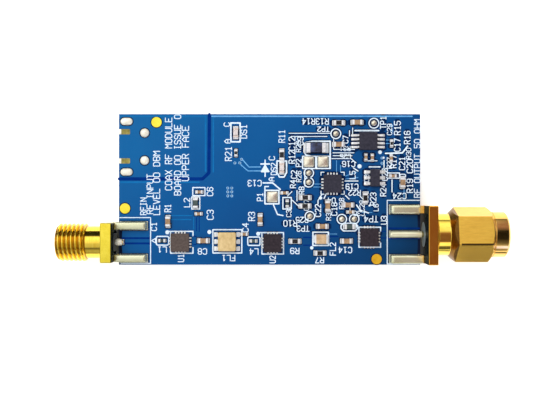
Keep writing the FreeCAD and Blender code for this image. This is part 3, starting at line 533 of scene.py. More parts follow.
# ---------------------------------------------------------------- mesh helpers
class Shells:
    """Collects closed shells into one mesh; points come in board millimetres."""
    def __init__(self):
        self.vertices, self.faces = [], []

    def add(self, points, faces):
        n = len(self.vertices)
        self.vertices += [at(*p) for p in points]
        self.faces += [tuple(i + n for i in face) for face in faces]

    def rings(self, rings):
        """A skin over stacked rings of equal count, capped at both ends."""
        k = len(rings[0])
        faces = [tuple(reversed(range(k)))]
        for i in range(len(rings) - 1):
            for j in range(k):
                a, b = i * k + j, i * k + (j + 1) % k
                faces.append((a, b, b + k, a + k))
        faces.append(tuple((len(rings) - 1) * k + j for j in range(k)))
        self.add([p for ring in rings for p in ring], faces)

    def loop(self, rings, flip=False):
        """A skin over rings of equal count, the last joined back to the first."""
        k = len(rings[0])
        faces = []
        for i in range(len(rings)):
            after = (i + 1) % len(rings)
            for j in range(k):
                right = (j + 1) % k
                a, b, c, d = i * k + j, i * k + right, after * k + right, after * k + j
                faces.append((a, d, c, b) if flip else (a, b, c, d))
        self.add([p for ring in rings for p in ring], faces)

    def prism(self, outline, z0, z1):
        self.rings([[(x, y, z) for x, y in outline] for z in (z0, z1)])

    def tube(self, outer, inner, z0, z1):
        """A flat ring between two outlines of equal count."""
        k = len(outer)
        levels = ((outer, z0), (outer, z1), (inner, z1), (inner, z0))
        faces = []
        for j in range(k):
            right = (j + 1) % k
            for a in range(4):
                b = (a + 1) % 4
                faces.append((a * k + j, a * k + right, b * k + right, b * k + j))
        self.add([(x, y, z) for outline, z in levels for x, y in outline], faces)


def piece(name, shells, material, smooth=None):
    """Makes an object of shells. smooth is the angle in degrees above which edges stay sharp."""
    mesh = bpy.data.meshes.new(name)
    mesh.from_pydata(shells.vertices, [], shells.faces)
    mesh.validate()
    mesh.materials.append(materials[material])
    made = bpy.data.objects.new(name, mesh)
    SCENE.collection.objects.link(made)
    if smooth is not None:
        for polygon in mesh.polygons:
            polygon.use_smooth = True
        mesh.update()
        normals = {}
        for polygon in mesh.polygons:
            for key in polygon.edge_keys:
                normals.setdefault(key, []).append(polygon.normal.copy())
        for edge in mesh.edges:
            pair = normals.get(tuple(sorted(edge.vertices)), [])
            if len(pair) == 2 and pair[0].angle(pair[1], 0.0) > math.radians(smooth):
                edge.use_edge_sharp = True
    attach(made, "module")
    return made


def circle(cx, cy, r, n=40):
    return [(cx + r * math.cos(2 * math.pi * i / n), cy + r * math.sin(2 * math.pi * i / n))
            for i in range(n)]


def capsule(a, b, radius, n):
    """A straight line from a to b with round ends of n segments."""
    heading = math.atan2(b[1] - a[1], b[0] - a[0])
    out = []
    for (x, y), start in ((b, heading - math.pi / 2), (a, heading + math.pi / 2)):
        for i in range(n + 1):
            q = start + math.pi * i / n
            out.append((x + radius * math.cos(q), y + radius * math.sin(q)))
    return out


def rounded(x0, x1, y0, y1, r, n):
    """A rounded rectangle, counter-clockwise, of 4 * (n + 1) points."""
    r = min(r, (x1 - x0) / 2 * 0.999, (y1 - y0) / 2 * 0.999)
    out = []
    corners = ((x1 - r, y1 - r, 0), (x0 + r, y1 - r, 90), (x0 + r, y0 + r, 180),
               (x1 - r, y0 + r, 270))
    for cx, cy, start in corners:
        for i in range(n + 1):
            q = math.radians(start + 90 * i / n)
            out.append((cx + r * math.cos(q), cy + r * math.sin(q)))
    return out


def plan(box, grow=0.0):
    """A box seen from above as [x0, x1, y0, y1], grown on every side."""
    low, high = box
    return [low[0] - grow, high[0] + grow, low[1] - grow, high[1] + grow]


def middle(box):
    low, high = box
    return (low[0] + high[0]) / 2, (low[1] + high[1]) / 2


def half_size(box):
    low, high = box
    return (high[0] - low[0]) / 2, (high[1] - low[1]) / 2


def on_top(boxes):
    """The boxes that stand above the board's upper face."""
    return [box for box in boxes if box[1][2] > 0]


# ---------------------------------------------------------------- printed legend and copper
def frame_line(x0, x1, y1, y0):
    """A closed rectangular line."""
    return [(x0, y1), (x1, y1), (x1, y0), (x0, y0), (x0, y1)]


# line width, points
LEGEND_LINES = [
    (0.249, frame_line(-6.422, -4.895, 11.019, 7.899)),
    (0.249, [(2.771, 4.713), (1.228, 4.713), (1.228, 2.805), (1.643, 2.058), (2.39, 2.058),
             (2.805, 2.805), (2.805, 4.713)]),
    (0.149, [(-24.909, -4.68), (-19.748, -4.68), (-19.748, -12.264), (-24.66, -12.264)]),
    (0.149, [(24.876, -1.809), (19.515, -1.809), (19.515, -12.38), (24.876, -12.38)]),
    (0.199, [(-18.619, -7.8), (-16.91, -7.8), (-16.744, -7.965), (-16.744, -9.077),
             (-16.91, -9.243), (-18.619, -9.243), (-18.785, -9.077), (-18.785, -7.965),
             (-18.619, -7.8)]),
    (0.199, [(-16.827, -6.97), (-12.712, -6.97), (-12.712, -7.65)]),
    (0.199, [(-16.429, -6.97), (-16.429, -10.587), (-12.712, -10.587), (-12.712, -9.642)]),
    (0.183, frame_line(-12.911, -11.583, -1.245, -3.253)),
    (0.183, frame_line(-12.745, -10.72, 0.299, -1.029)),
    (0.199, frame_line(-9.409, -4.613, -6.688, -10.554)),
    (0.199, [(-3.485, -7.899), (-1.726, -7.899), (-1.593, -8.032), (-1.593, -9.16),
             (-1.726, -9.293), (-3.485, -9.293), (-3.618, -9.16), (-3.618, -8.032),
             (-3.485, -7.899)]),
    (0.199, [(-1.759, -7.169), (2.307, -7.169), (2.307, -10.72), (-1.278, -10.72),
             (-1.278, -7.169)]),
    (0.232, frame_line(-0.78, 1.543, -0.166, -2.39)),
    (0.232, [(-1.095, 1.079), (0.498, 1.079), (1.776, 0.0)]),
    (0.199, [(-0.78, -0.166), (-0.78, 0.481), (-0.183, 0.481)]),
    (0.199, frame_line(2.207, 3.601, -1.344, -3.253)),
    (0.199, [(0.647, -2.589), (1.311, -4.149), (2.224, -4.348)]),
    (0.232, frame_line(7.186, 9.758, -7.103, -9.293)),
    (0.199, [(14.421, -6.273), (18.42, -6.273), (18.42, -6.903)]),
    (0.199, [(14.819, -6.273), (14.819, -9.592), (18.42, -9.592), (18.42, -8.895)]),
    (0.199, [(12.247, -5.626), (14.205, -5.626), (14.603, -6.024), (14.603, -6.489),
             (14.205, -6.887), (12.247, -6.887), (11.849, -6.489), (11.849, -6.024),
             (12.247, -5.626)]),
    (0.199, frame_line(5.476, 7.65, 5.493, 3.468)),
    (0.199, frame_line(7.8, 9.957, 5.493, 3.468)),
    (0.249, [(7.036, 7.982), (10.056, 7.982), (10.056, 3.468)]),
    (0.216, [(7.036, 7.949), (6.074, 7.816), (5.742, 7.285), (5.742, 6.206), (6.074, 5.675),
             (6.704, 5.609)]),
    (0.266, [(14.172, 9.758), (18.088, 9.758)]), (0.216, [(16.528, 3.734), (18.304, 3.734)]),
    (0.133, [(3.219, 9.31), (10.09, 9.31)]), (0.133, [(3.551, 8.779), (9.525, 8.779)]),
    (0.133, [(10.621, 8.331), (10.621, 6.638), (14.089, 6.638)]),
    (0.133, [(10.521, 6.074), (14.006, 6.074)]), (0.133, [(10.521, 5.592), (13.674, 5.592)]),
    (0.133, [(10.322, 5.111), (13.508, 5.111), (14.338, 4.414)]),
    (0.249, [(19.233, 5.974), (22.021, 6.057), (22.901, 7.186)]),
    (0.166, [(9.028, 2.854), (8.53, 2.854), (8.53, 2.356)]),
    (0.166, [(11.882, 2.854), (12.38, 2.854), (12.38, 2.356)]),
    (0.166, [(9.028, -0.797), (8.53, -0.797), (8.53, -0.299)]),
    (0.166, [(11.882, -0.797), (12.38, -0.797), (12.38, -0.299)]),
    (0.199, [(-0.747, 4.879), (-0.747, 2.141)]), (0.249, [(-1.444, 4.215), (-0.033, 4.215)]),
    (0.216, [(-0.747, 3.983), (-1.361, 2.954), (-0.116, 2.954), (-0.747, 3.983)]),
    (0.266, [(-0.747, 3.634), (-1.029, 3.12), (-0.448, 3.12), (-0.747, 3.634)]),
    (0.149, [(-19.565, -8.497), (-18.918, -8.131), (-18.918, -8.878), (-19.565, -8.497)]),
    (0.183, [(19.731, 2.722), (21.557, 2.722), (21.557, 1.859), (19.731, 1.859)]),
    (0.183, [(20.312, 1.56), (20.312, -0.431)]), (0.183, [(13.923, 3.551), (14.67, 3.053)]),
    (0.166, [(12.512, 1.394), (14.67, 1.394)]), (0.166, [(4.547, -0.183), (4.547, -1.925)]),
    (0.183, [(8.613, -0.929), (8.032, -1.842), (8.032, -2.423)]),
    (0.183, [(12.595, -1.012), (13.176, -1.593)]), (0.149, [(2.97, -1.095), (3.717, -0.348)]),
    (0.216, [(14.421, -2.589), (15.002, -3.419), (16.412, -3.916)]),
    (0.199, [(9.426, -0.68), (9.028, -1.51)]), (0.166, [(10.504, 0.232), (10.504, -0.1)]),
    (0.149, [(13.259, 9.758), (13.259, 8.862)]), (0.149, [(13.774, 10.189), (13.774, 9.094)]),
    (0.166, [(15.035, -1.178), (15.997, -2.091)]), (0.166, [(3.717, -1.759), (4.879, -2.838)]),
    (0.149, [(16.064, 4.746), (17.823, 4.746)]),
    (0.166, [(18.984, 4.812), (18.984, 3.219), (19.715, 2.722)]),
    (0.166, [(5.841, 3.153), (5.841, 0.564)]),
    (0.149, [(11.849, -1.726), (13.342, -2.688), (13.342, -4.082)]),
]
# x, y, radius, line width
LEGEND_RINGS = [
    (6.505, 2.722, 0.78, 0.183), (6.505, 1.178, 0.78, 0.183), (6.671, -4.447, 0.78, 0.183),
    (11.981, -4.929, 0.78, 0.183), (14.039, -4.929, 0.78, 0.183), (10.986, 9.243, 0.813, 0.183),
    (17.308, 10.986, 0.813, 0.183),
]
# x, y, radius
LEGEND_DOTS = [
    (-16.96, -7.119, 0.332), (-9.99, -7.069, 0.332), (-1.892, -7.368, 0.332),
    (7.003, -9.691, 0.282), (18.321, 6.173, 0.315), (14.919, 3.833, 0.348),
    (8.463, -1.427, 0.266), (14.404, -6.123, 0.266), (18.918, 5.244, 0.183),
    (16.578, -2.672, 0.166), (9.193, 9.89, 0.017),
]
# text, x and y of its middle, turn in degrees, letter height, letter pitch, line width
LEGEND_TEXTS = [
    ("COAX RF MODULE", -16.761, 5.875, 90, 1.079, 0.871, 0.166),
    ("BOARD 00 ISSUE 0", -15.267, 5.709, 90, 1.045, 0.846, 0.166),
    ("UPPER FACE", -13.973, 5.958, 90, 1.079, 0.929, 0.166),
    ("LEVEL 00 DBM", -18.752, 1.062, 90, 1.045, 0.896, 0.166),
    ("RF INPUT", -19.847, -0.763, 90, 0.996, 0.846, 0.166),
    ("RFIN", -20.943, -2.805, 90, 0.929, 0.747, 0.166),
    ("R21", -6.837, 5.908, 90, 1.029, 0.83, 0.166), ("DS1", -4.281, 9.592, 90, 0.962, 0.797, 0.166),
    ("C", -7.103, 10.77, 90, 0.913, 0.813, 0.166), ("A", -7.02, 7.982, 90, 0.913, 0.813, 0.166),
    ("R11", 2.025, 8.812, 90, 0.996, 0.73, 0.166), ("C12", 3.701, 7.567, 90, 0.996, 0.797, 0.166),
    ("R12", 3.701, 5.377, 90, 0.996, 0.763, 0.166), ("C9", 5.111, 8.032, 90, 0.929, 0.763, 0.166),
    ("R15", 21.208, 10.189, 90, 0.996, 0.813, 0.166),
    ("C17", 21.175, 7.368, 90, 0.962, 0.763, 0.166),
    ("R16", 22.834, 8.613, 90, 0.962, 0.763, 0.166),
    ("TP1", 18.852, 11.085, 90, 0.929, 0.73, 0.166),
    ("RF OUTPUT 50 OHM", 24.494, 5.128, 90, 0.962, 0.821, 0.149),
    ("R19 C20", 23.266, 2.224, 90, 0.962, 0.813, 0.166),
    ("R17", 20.561, 4.63, 90, 0.929, 0.747, 0.166), ("C21", 21.971, 4.298, 90, 0.929, 0.763, 0.166),
    ("R20", 22.104, 1.477, 90, 0.929, 0.763, 0.166),
    ("U3", 18.968, -5.111, 90, 0.929, 0.763, 0.166),
    ("FL2", 10.488, -9.89, 90, 0.929, 0.747, 0.166), ("C4", -4.016, -6.339, 90, 0.962, 0.83, 0.166),
    ("R3", -2.987, -4.481, 90, 1.029, 0.797, 0.166), ("L2", -13.707, -2.191, 90, 0.962, 0.83, 0.166),
    ("C3", -9.857, -4.215, 90, 1.029, 0.896, 0.166), ("C6", -9.89, -0.365, 90, 0.962, 0.797, 0.166),
    ("U1", -14.703, -11.401, 90, 0.929, 0.697, 0.166),
    ("U2", 0.498, -11.616, 90, 0.929, 0.664, 0.166), ("P1", -1.593, -1.261, 90, 0.929, 0.73, 0.166),
    ("C1", -19.2, -6.173, 90, 0.896, 0.763, 0.166), ("R1", -16.893, -3.12, 90, 0.996, 0.697, 0.166),
    ("R10", 3.419, -5.642, 180, 0.962, 0.797, 0.166),
    ("R9", 4.182, -10.206, 180, 0.929, 0.813, 0.166),
    ("C8", -11.152, -10.289, 180, 0.929, 0.83, 0.166),
    ("L1", -17.823, -9.99, 180, 0.896, 0.813, 0.166),
    ("FL1", -6.804, -11.384, 180, 0.929, 0.763, 0.166),
    ("L4", -2.605, -10.322, 180, 0.962, 0.813, 0.166),
    ("R7", 8.297, -11.749, 180, 0.896, 0.78, 0.166),
    ("C14", 12.546, -10.056, 180, 0.929, 0.797, 0.166),
    ("C13", -2.489, 1.029, 180, 0.962, 0.813, 0.166),
    ("R13R14", 7.6, 11.284, 180, 0.962, 0.755, 0.166),
    ("TP2", 8.928, 9.99, 180, 0.763, 0.697, 0.166), ("TP3", 5.543, -6.505, 180, 0.896, 0.73, 0.166),
    ("R25", 5.377, -5.045, 180, 0.863, 0.73, 0.166),
    ("TP4", 16.827, -4.912, 180, 0.996, 0.83, 0.166),
    ("C16", 13.11, 4.215, 180, 0.896, 0.763, 0.166), ("L5", 13.757, 2.39, 90, 0.896, 0.73, 0.166),
    ("C19", 13.674, 0.465, 180, 0.863, 0.73, 0.166),
    ("R22", 14.089, -0.564, 180, 0.83, 0.714, 0.166),
    ("R23", 17.192, -1.593, 90, 0.929, 0.747, 0.166),
    ("R24", 18.852, -0.1, 90, 0.896, 0.73, 0.166), ("C18", 10.72, -3.253, 90, 0.896, 0.763, 0.166),
    ("C22", 8.032, -3.501, 90, 0.896, 0.73, 0.166),
    ("C24", 21.557, -1.095, 180, 0.929, 0.797, 0.166),
    ("C", 0.365, 5.178, 90, 0.929, 0.813, 0.166), ("DS2", 0.697, 3.385, 90, 0.896, 0.697, 0.166),
    ("A", 0.299, 1.693, 90, 0.863, 0.813, 0.166), ("C2", 4.049, 2.473, 90, 0.896, 0.73, 0.166),
    ("R4", 3.883, 0.896, 90, 0.896, 0.73, 0.166), ("C7", 12.595, 8.281, 90, 0.83, 0.697, 0.166),
    ("U4", 10.272, -1.842, 180, 0.863, 0.73, 0.166), ("R8", 5.294, -0.183, 90, 0.83, 0.697, 0.166),
    ("C23", 19.117, 2.473, 90, 0.863, 0.73, 0.166), ("P2", 4.812, 4.381, 90, 0.863, 0.697, 0.166),
    ("C11", 15.914, -1.261, 90, 0.863, 0.714, 0.166),
    ("R26", 4.846, 2.141, 90, 0.763, 0.647, 0.133), ("C25", 12.579, 5.476, 180, 0.73, 0.631, 0.133),
    ("C26", 16.097, 2.141, 90, 0.73, 0.647, 0.133), ("R27", 19.881, 4.381, 90, 0.763, 0.647, 0.133),
    ("C27", 6.107, -2.589, 90, 0.763, 0.647, 0.133),
    ("R28", 11.948, -2.34, 90, 0.763, 0.647, 0.133),
    ("C28", 15.334, -2.755, 90, 0.763, 0.647, 0.133),
    ("R29", 4.779, 7.119, 90, 0.763, 0.647, 0.133), ("C29", 19.897, 9.94, 90, 0.763, 0.647, 0.133),
    ("R30", 23.067, 5.958, 90, 0.763, 0.647, 0.133),
    ("C30", 14.836, -3.983, 180, 0.763, 0.647, 0.133),
    ("L6", 17.657, -3.004, 90, 0.763, 0.647, 0.133), ("R31", 12.512, 6.771, 180, 0.697, 0.631, 0.133),
    ("R32", 9.774, -4.215, 90, 0.763, 0.647, 0.133), ("C31", 3.186, -3.667, 90, 0.763, 0.647, 0.133),
    ("X1", 6.605, 7.103, 180, 0.73, 0.647, 0.133),
]
# line width, points
COPPER_GAPS = [
    (0.548, [(-24.942, 1.742), (-11.135, 1.742), (-10.073, 2.738), (-9.99, 12.413)]),
    (0.315, [(-24.411, -8.098), (-19.847, -8.098)]), (0.315, [(-24.411, -8.961), (-19.847, -8.961)]),
    (0.166, [(-12.612, -7.8), (-12.181, -7.8)]), (0.166, [(-12.612, -9.16), (-12.181, -9.16)]),
    (0.199, [(5.626, -7.965), (7.069, -7.965)]), (0.199, [(5.626, -9.26), (7.069, -9.26)]),
    (0.183, [(9.89, -7.833), (11.351, -7.833)]), (0.183, [(9.89, -9.21), (11.351, -9.21)]),
    (0.266, [(19.681, -6.455), (24.826, -6.455)]), (0.266, [(19.681, -8.131), (24.826, -8.131)]),
    (0.166, [(18.553, -6.97), (19.482, -6.97)]), (0.166, [(18.553, -8.065), (19.482, -8.065)]),
    (0.133, [(-12.131, -4.613), (-12.131, -6.903)]), (0.133, [(-11.683, -4.613), (-11.683, -6.986)]),
]
TRACES = [
    (0.166, [(-4.481, 4.929), (-3.435, 3.717), (-1.51, 3.717)]),
    (0.166, [(-4.929, 4.232), (-3.601, 3.07), (-1.46, 3.07)]),
    (0.232, [(-9.559, 12.131), (23.631, 12.131)]), (0.083, [(9.94, -7.401), (11.185, -7.401)]),
    (0.116, [(22.303, 2.224), (22.303, -1.593)]), (0.1, [(15.334, -3.833), (16.993, -3.833)]),
    (0.1, [(12.595, 2.224), (14.504, 2.887)]), (0.1, [(12.595, 1.726), (14.67, 1.975)]),
    (0.1, [(7.285, 0.896), (8.613, 0.896)]), (0.1, [(7.285, 0.398), (8.613, 0.398)]),
    (0.1, [(11.766, 4.049), (11.766, 2.887)]), (0.1, [(11.102, 4.796), (11.102, 2.887)]),
    (0.1, [(19.349, 8.198), (20.976, 8.198)]),
    (0.1, [(19.316, 7.617), (20.146, 7.617), (20.478, 7.036)]),
]
POUR_EDGES = [
    (0.166, [(-24.66, 12.131), (-10.554, 12.131)]), (0.266, [(-24.66, 1.195), (-11.716, 1.195)]),
    (0.266, [(-10.621, 12.015), (-10.621, 3.053)]), (0.166, [(-16.528, -4.348), (-12.878, -4.348)]),
    (0.166, [(-16.528, -4.995), (-13.043, -4.995)]), (0.149, [(-12.612, -4.58), (-12.612, -6.572)]),
    (0.232, [(-9.343, 11.932), (-9.343, 2.887)]),
]
# strokes of each letter as x,y points on a grid 4 wide and 6 high
GLYPHS = {
    "A": ["0,0 0,4 2,6 4,4 4,0", "0,2.4 4,2.4"],
    "B": ["0,0 0,6 3,6 4,5 4,4 3,3 0,3", "3,3 4,2 4,1 3,0 0,0"],
    "C": ["4,5 3,6 1,6 0,5 0,1 1,0 3,0 4,1"], "D": ["0,0 0,6 2.6,6 4,4.6 4,1.4 2.6,0 0,0"],
    "E": ["4,6 0,6 0,0 4,0", "0,3 3,3"], "F": ["4,6 0,6 0,0", "0,3 3,3"],
    "H": ["0,0 0,6", "4,0 4,6", "0,3 4,3"], "I": ["2,0 2,6", "1,0 3,0", "1,6 3,6"],
    "L": ["0,6 0,0 4,0"], "M": ["0,0 0,6 2,3.4 4,6 4,0"], "N": ["0,0 0,6 4,0 4,6"],
    "O": ["1,0 3,0 4,1 4,5 3,6 1,6 0,5 0,1 1,0"], "P": ["0,0 0,6 3,6 4,5 4,3.6 3,2.7 0,2.7"],
    "R": ["0,0 0,6 3,6 4,5 4,3.8 3,3 0,3", "2,3 4,0"],
    "S": ["4,5 3,6 1,6 0,5 0,4 1,3 3,3 4,2 4,1 3,0 1,0 0,1"], "T": ["0,6 4,6", "2,6 2,0"],
    "U": ["0,6 0,1 1,0 3,0 4,1 4,6"], "V": ["0,6 2,0 4,6"], "X": ["0,0 4,6", "0,6 4,0"],
    "0": ["1,0 3,0 4,1 4,5 3,6 1,6 0,5 0,1 1,0"], "1": ["1,4.8 2.2,6 2.2,0", "1,0 3.4,0"],
    "2": ["0,5 1,6 3,6 4,5 4,4 0,0 4,0"],
    "3": ["0,5 1,6 3,6 4,5 4,4 3,3 1.6,3", "3,3 4,2 4,1 3,0 1,0 0,1"],
    "4": ["3,0 3,6 0,2 4,2"], "5": ["4,6 0,6 0,3.4 3,3.4 4,2.5 4,1 3,0 1,0 0,1"],
    "6": ["4,5 3,6 1,6 0,5 0,1 1,0 3,0 4,1 4,2.4 3,3.3 0,3.3"], "7": ["0,6 4,6 1.4,0"],
    "8": ["1,3 0,4 0,5 1,6 3,6 4,5 4,4 3,3 1,3 0,2 0,1 1,0 3,0 4,1 4,2 3,3"],
    "9": ["0,1 1,0 3,0 4,1 4,5 3,6 1,6 0,5 0,3.7 1,2.8 4,2.8"], " ": [],
}

stroke_numbers = itertools.count(1)


def stroke(shells, points, width, height):
    """A line of one capsule per segment, each a hair different in height, so that
    overlapping faces rarely share a plane."""
    for a, b in zip(points, points[1:]):
        top = height + 0.0006 * (next(stroke_numbers) % 9)
        shells.prism(capsule(a, b, width / 2, 4), 0.0, top)


def print_text(shells, text, cx, cy, turn, height, pitch, width):
    cos, sin = math.cos(math.radians(turn)), math.sin(math.radians(turn))
    letter_width = pitch * 0.72
    for i, letter in enumerate(text):
        left = (i - (len(text) - 1) / 2) * pitch - letter_width / 2
        for line in GLYPHS[letter]:
            points = []
            for pair in line.split():
                a, b = map(float, pair.split(","))
                u, v = left + a / 4 * letter_width, (b / 6 - 0.5) * height
                points.append((cx + u * cos - v * sin, cy + u * sin + v * cos))
            stroke(shells, points, width * 0.86, 0.016)


legend = Shells()
for width, points in LEGEND_LINES:
    stroke(legend, points, width, 0.016)
for x, y, radius, width in LEGEND_RINGS:
    legend.tube(circle(x, y, radius + width / 2), circle(x, y, radius - width / 2), 0.0, 0.0215)
for x, y, radius in LEGEND_DOTS:
    legend.prism(circle(x, y, radius, 20), 0.0, 0.0222)
for row in LEGEND_TEXTS:
    print_text(legend, *row)
piece("legend_print", legend, "legend_ink")

# Where parts stand close together the copper pour is broken up, and the mask over bare
# laminate reads darker: patches lie under the legend and the lands there.
CROWDED_FROM_X = 2.2
patch_numbers = itertools.count(1)
bare = Shells()


def patch_height():
    return 0.0016 + 0.00014 * (next(patch_numbers) % 9)


def bare_patch(points, width):
    for a, b in zip(points, points[1:]):
        x, y = (a[0] + b[0]) / 2, (a[1] + b[1]) / 2
        crowded = CROWDED_FROM_X < x < 23.9 and -7.2 < y < 11.4
        if crowded and not (x > 19.2 and y < -1.6):
            bare.prism(capsule(a, b, width / 2, 3), 0.0, patch_height())


chip_lands = solids("chip_part_lands")
package_lands = solids("package_lands")
LAND_TOP = chip_lands[0][1][2]

for width, points in LEGEND_LINES:
    bare_patch(points, width + 0.34)
for x, y, radius, width in LEGEND_RINGS:
    if x > CROWDED_FROM_X:
        bare.prism(circle(x, y, radius + width / 2 + 0.2, 24), 0.0, patch_height())
for text, x, y, turn, height, pitch, _ in LEGEND_TEXTS:
    cos, sin = math.cos(math.radians(turn)), math.sin(math.radians(turn))
    half = len(text) * pitch / 2 + 0.02
    dx, dy = half * cos * 0.8, half * sin * 0.8
    bare_patch([(x - dx, y - dy), (x + dx, y + dy)], height * 1.22)
for low, high in on_top(chip_lands) + on_top(package_lands):
    x, y = middle((low, high))
    bare_patch([(x - 0.2, y), (x + 0.2, y)], max(high[1] - low[1], high[0] - low[0]) + 0.45)
piece("bare_patches", bare, "bare_laminate_mask")

# copper under the mask: gaps in the pour read darker, raised traces lighter
for name, lines, height, material in (("pour_gaps", COPPER_GAPS, 0.003, "masked_gap"),
                                      ("masked_traces", TRACES, 0.009, "masked_trace"),
                                      ("pour_edges", POUR_EDGES, 0.006, "pour_edge")):
    copper = Shells()
    for width, points in lines:
        stroke(copper, points, width, height)
    piece(name, copper, material)


# ---------------------------------------------------------------- solder on the small parts
def between_plans(first, second, s):
    return [a + (b - a) * s for a, b in zip(first, second)]


def skirt(shells, land, cap, top, wet, power=2.1, n=6):
    """A concave fillet from the plan of a land up to the plan of a cap. wet is the share of
    the height to top that it climbs."""
    rings = []
    for i in range(n + 1):
        s = i / n
        z = LAND_TOP + (top - LAND_TOP) * wet * (0.04 + 0.96 * s ** power)
        outline = rounded(*between_plans(land, cap, s), 0.06 + 0.05 * (1 - s), 3)
        rings.append([(x, y, z) for x, y in outline])
    rings.insert(0, [(x, y, LAND_TOP) for x, y, _ in rings[0]])
    shells.rings(rings)


def land_under(lands, x, y):
    """The last land on the upper face that holds the point, or None."""
    found = None
    for land in on_top(lands):
        x0, x1, y0, y1 = plan(land, 0.05)
        if x0 <= x <= x1 and y0 <= y <= y1:
            found = land
    return found


CAP_GAP = 0.012                          # solder stands this far off the caps
# node, share of the cap's height that the solder climbs
END_CAPS = [("capacitor_end_caps", 0.78), ("resistor_end_caps", 0.85),
            ("inductor_end_caps", 0.85), ("power_inductor_end_caps", 0.55),
            ("led_end_terminals", 0.95)]


def chip_part_solder():
    shells = Shells()
    for node, wet in END_CAPS:
        for box in solids(node):
            low, high = box
            mid = middle(box)
            under = land_under(chip_lands, *mid)
            if under is None:
                continue
            land_mid = middle(under)
            axis = 0 if abs(land_mid[0] - mid[0]) > abs(land_mid[1] - mid[1]) else 1
            land, cap = plan(under), plan(box, CAP_GAP)
            # the fillet stops at the cap's inner end, so that none creeps under the body
            if land_mid[axis] > mid[axis]:
                land[2 * axis], cap[2 * axis] = low[axis] + 0.01, low[axis] + 0.02
            else:
                land[2 * axis + 1], cap[2 * axis + 1] = high[axis] - 0.01, high[axis] - 0.02
            skirt(shells, land, cap, high[2], wet)
    piece("chip_part_solder", shells, "solder", smooth=50)


def lead_solder(shells):
    """Round the feet of the gull-wing leads."""
    foot = 0.62
    for box in solids("regulator_chip_leads") + solids("switch_chip_leads"):
        x, y = middle(box)
        land = (land_under(package_lands, x, y) or land_under(package_lands, x + 0.3, y)
                or land_under(package_lands, x - 0.3, y))
        if land is None:
            continue
        cap = plan(box, 0.01)
        if middle(land)[0] > x:
            cap[0] = box[1][0] - foot
        else:
            cap[1] = box[0][0] + foot
        skirt(shells, plan(land, -0.02), cap, LAND_TOP + 0.15, wet=0.7, power=1.6, n=4)


def filter_solder(shells):
    for box in solids("filter_terminals"):
        low, high = box
        x, y = middle(box)
        under = land_under(package_lands, x, y)
        if under is None:
            continue
        land, cap = plan(under), plan(box, 0.01)
        if middle(under)[0] > x:
            land[0], cap[0] = low[0] + 0.005, low[0] + 0.01
        else:
            land[1], cap[1] = high[0] - 0.005, high[0] - 0.01
        skirt(shells, land, cap, high[2], wet=0.9, power=1.6)


def ceramic_filter_solder(shells):
    body_x = middle(solids("ceramic_filter")[0])[0]
    for box in solids("ceramic_filter_terminals"):
        low, high = box
        x, y = middle(box)
        under = land_under(package_lands, x, y)
        if under is None:
            continue
        land, cap = plan(under), plan(box, -0.05)
        if middle(under)[0] > x or x > body_x:
            land[:2] = low[0] + 0.01, max(land[1], high[0] + 0.2)
            cap[:2] = low[0] + 0.02, high[0] + CAP_GAP
        else:
            land[:2] = min(land[0], low[0] - 0.2), high[0] - 0.01
            cap[:2] = low[0] - CAP_GAP, high[0] - 0.02
        skirt(shells, land, cap, high[2], wet=0.5)


def toe_solder(shells, chips_node, terminals_node):
    """Small toes where a leadless package's terminals meet their lands."""
    chips, toe, lap = solids(chips_node), 0.30, 0.02
    for low, high in solids(terminals_node):
        mid = middle((low, high))
        if high[0] - low[0] > 1.0:
            continue
        for chip in chips:
            x0, x1, y0, y1 = plan(chip, 0.1)
            if x0 < mid[0] < x1 and y0 < mid[1] < y1:
                break
        axis = 0 if high[0] - low[0] > high[1] - low[1] else 1
        side = 1 - axis
        if mid[axis] > middle(chip)[axis]:
            edge = chip[1][axis]
            land_along = [edge - lap, edge + toe]
        else:
            edge = chip[0][axis]
            land_along = [edge - toe, edge + lap]
        cap_along = [edge - lap, edge + lap]
        land_across = [low[side] - lap, high[side] + lap]
        cap_across = [low[side], high[side]]
        if axis == 0:
            land, cap = land_along + land_across, cap_along + cap_across
        else:
            land, cap = land_across + land_along, cap_across + cap_along
        skirt(shells, land, cap, LAND_TOP + 0.2, wet=0.9, power=1.5, n=3)


chip_part_solder()
package_solder = Shells()
lead_solder(package_solder)
filter_solder(package_solder)
ceramic_filter_solder(package_solder)
toe_solder(package_solder, "amplifier_chips", "amplifier_chip_terminals")
toe_solder(package_solder, "control_chip", "control_chip_terminals")
piece("package_solder", package_solder, "solder", smooth=50)


def dome(shells, outline, z0, height, n, flat=0.0, shift=(0.0, 0.0)):
    """A closed mound: outline(s) gives its outline at scale s from 1 (edge) to 0."""
    rings = []
    for i in range(n):
        q = i / n * math.pi / 2
        z = z0 + height * math.sin(q) ** (1.0 - flat)
        dx, dy = shift[0] * math.sin(q), shift[1] * math.sin(q)
        rings.append([(x + dx, y + dy, z) for x, y in outline(max(math.cos(q), 0.04))])
    rings.append([(x + shift[0], y + shift[1], z0 + height) for x, y in outline(0.03)])
    shells.rings(rings)


def scaled(cx, cy, hx, hy, s, r, n):
    return rounded(cx - hx * s, cx + hx * s, cy - hy * s, cy + hy * s, r, n)


def land_solder():
    """Mounds on the square power lands and the round test lands."""
    shells = Shells()
    for box in solids("power_lands"):
        x, y = middle(box)
        hx, hy = (h - 0.03 for h in half_size(box))
        dome(shells, lambda s: scaled(x, y, hx, hy, s, 0.12 + 0.5 * (1 - s), 4),
             LAND_TOP, 0.30, n=10, flat=0.15, shift=(0.16, 0.14))
    for box in solids("test_lands"):
        x, y = middle(box)
        radius = half_size(box)[0] - 0.02
        dome(shells, lambda s: circle(x, y, radius * s, 24), LAND_TOP, 0.16, n=6)
    piece("land_solder", shells, "pad_solder", smooth=60)


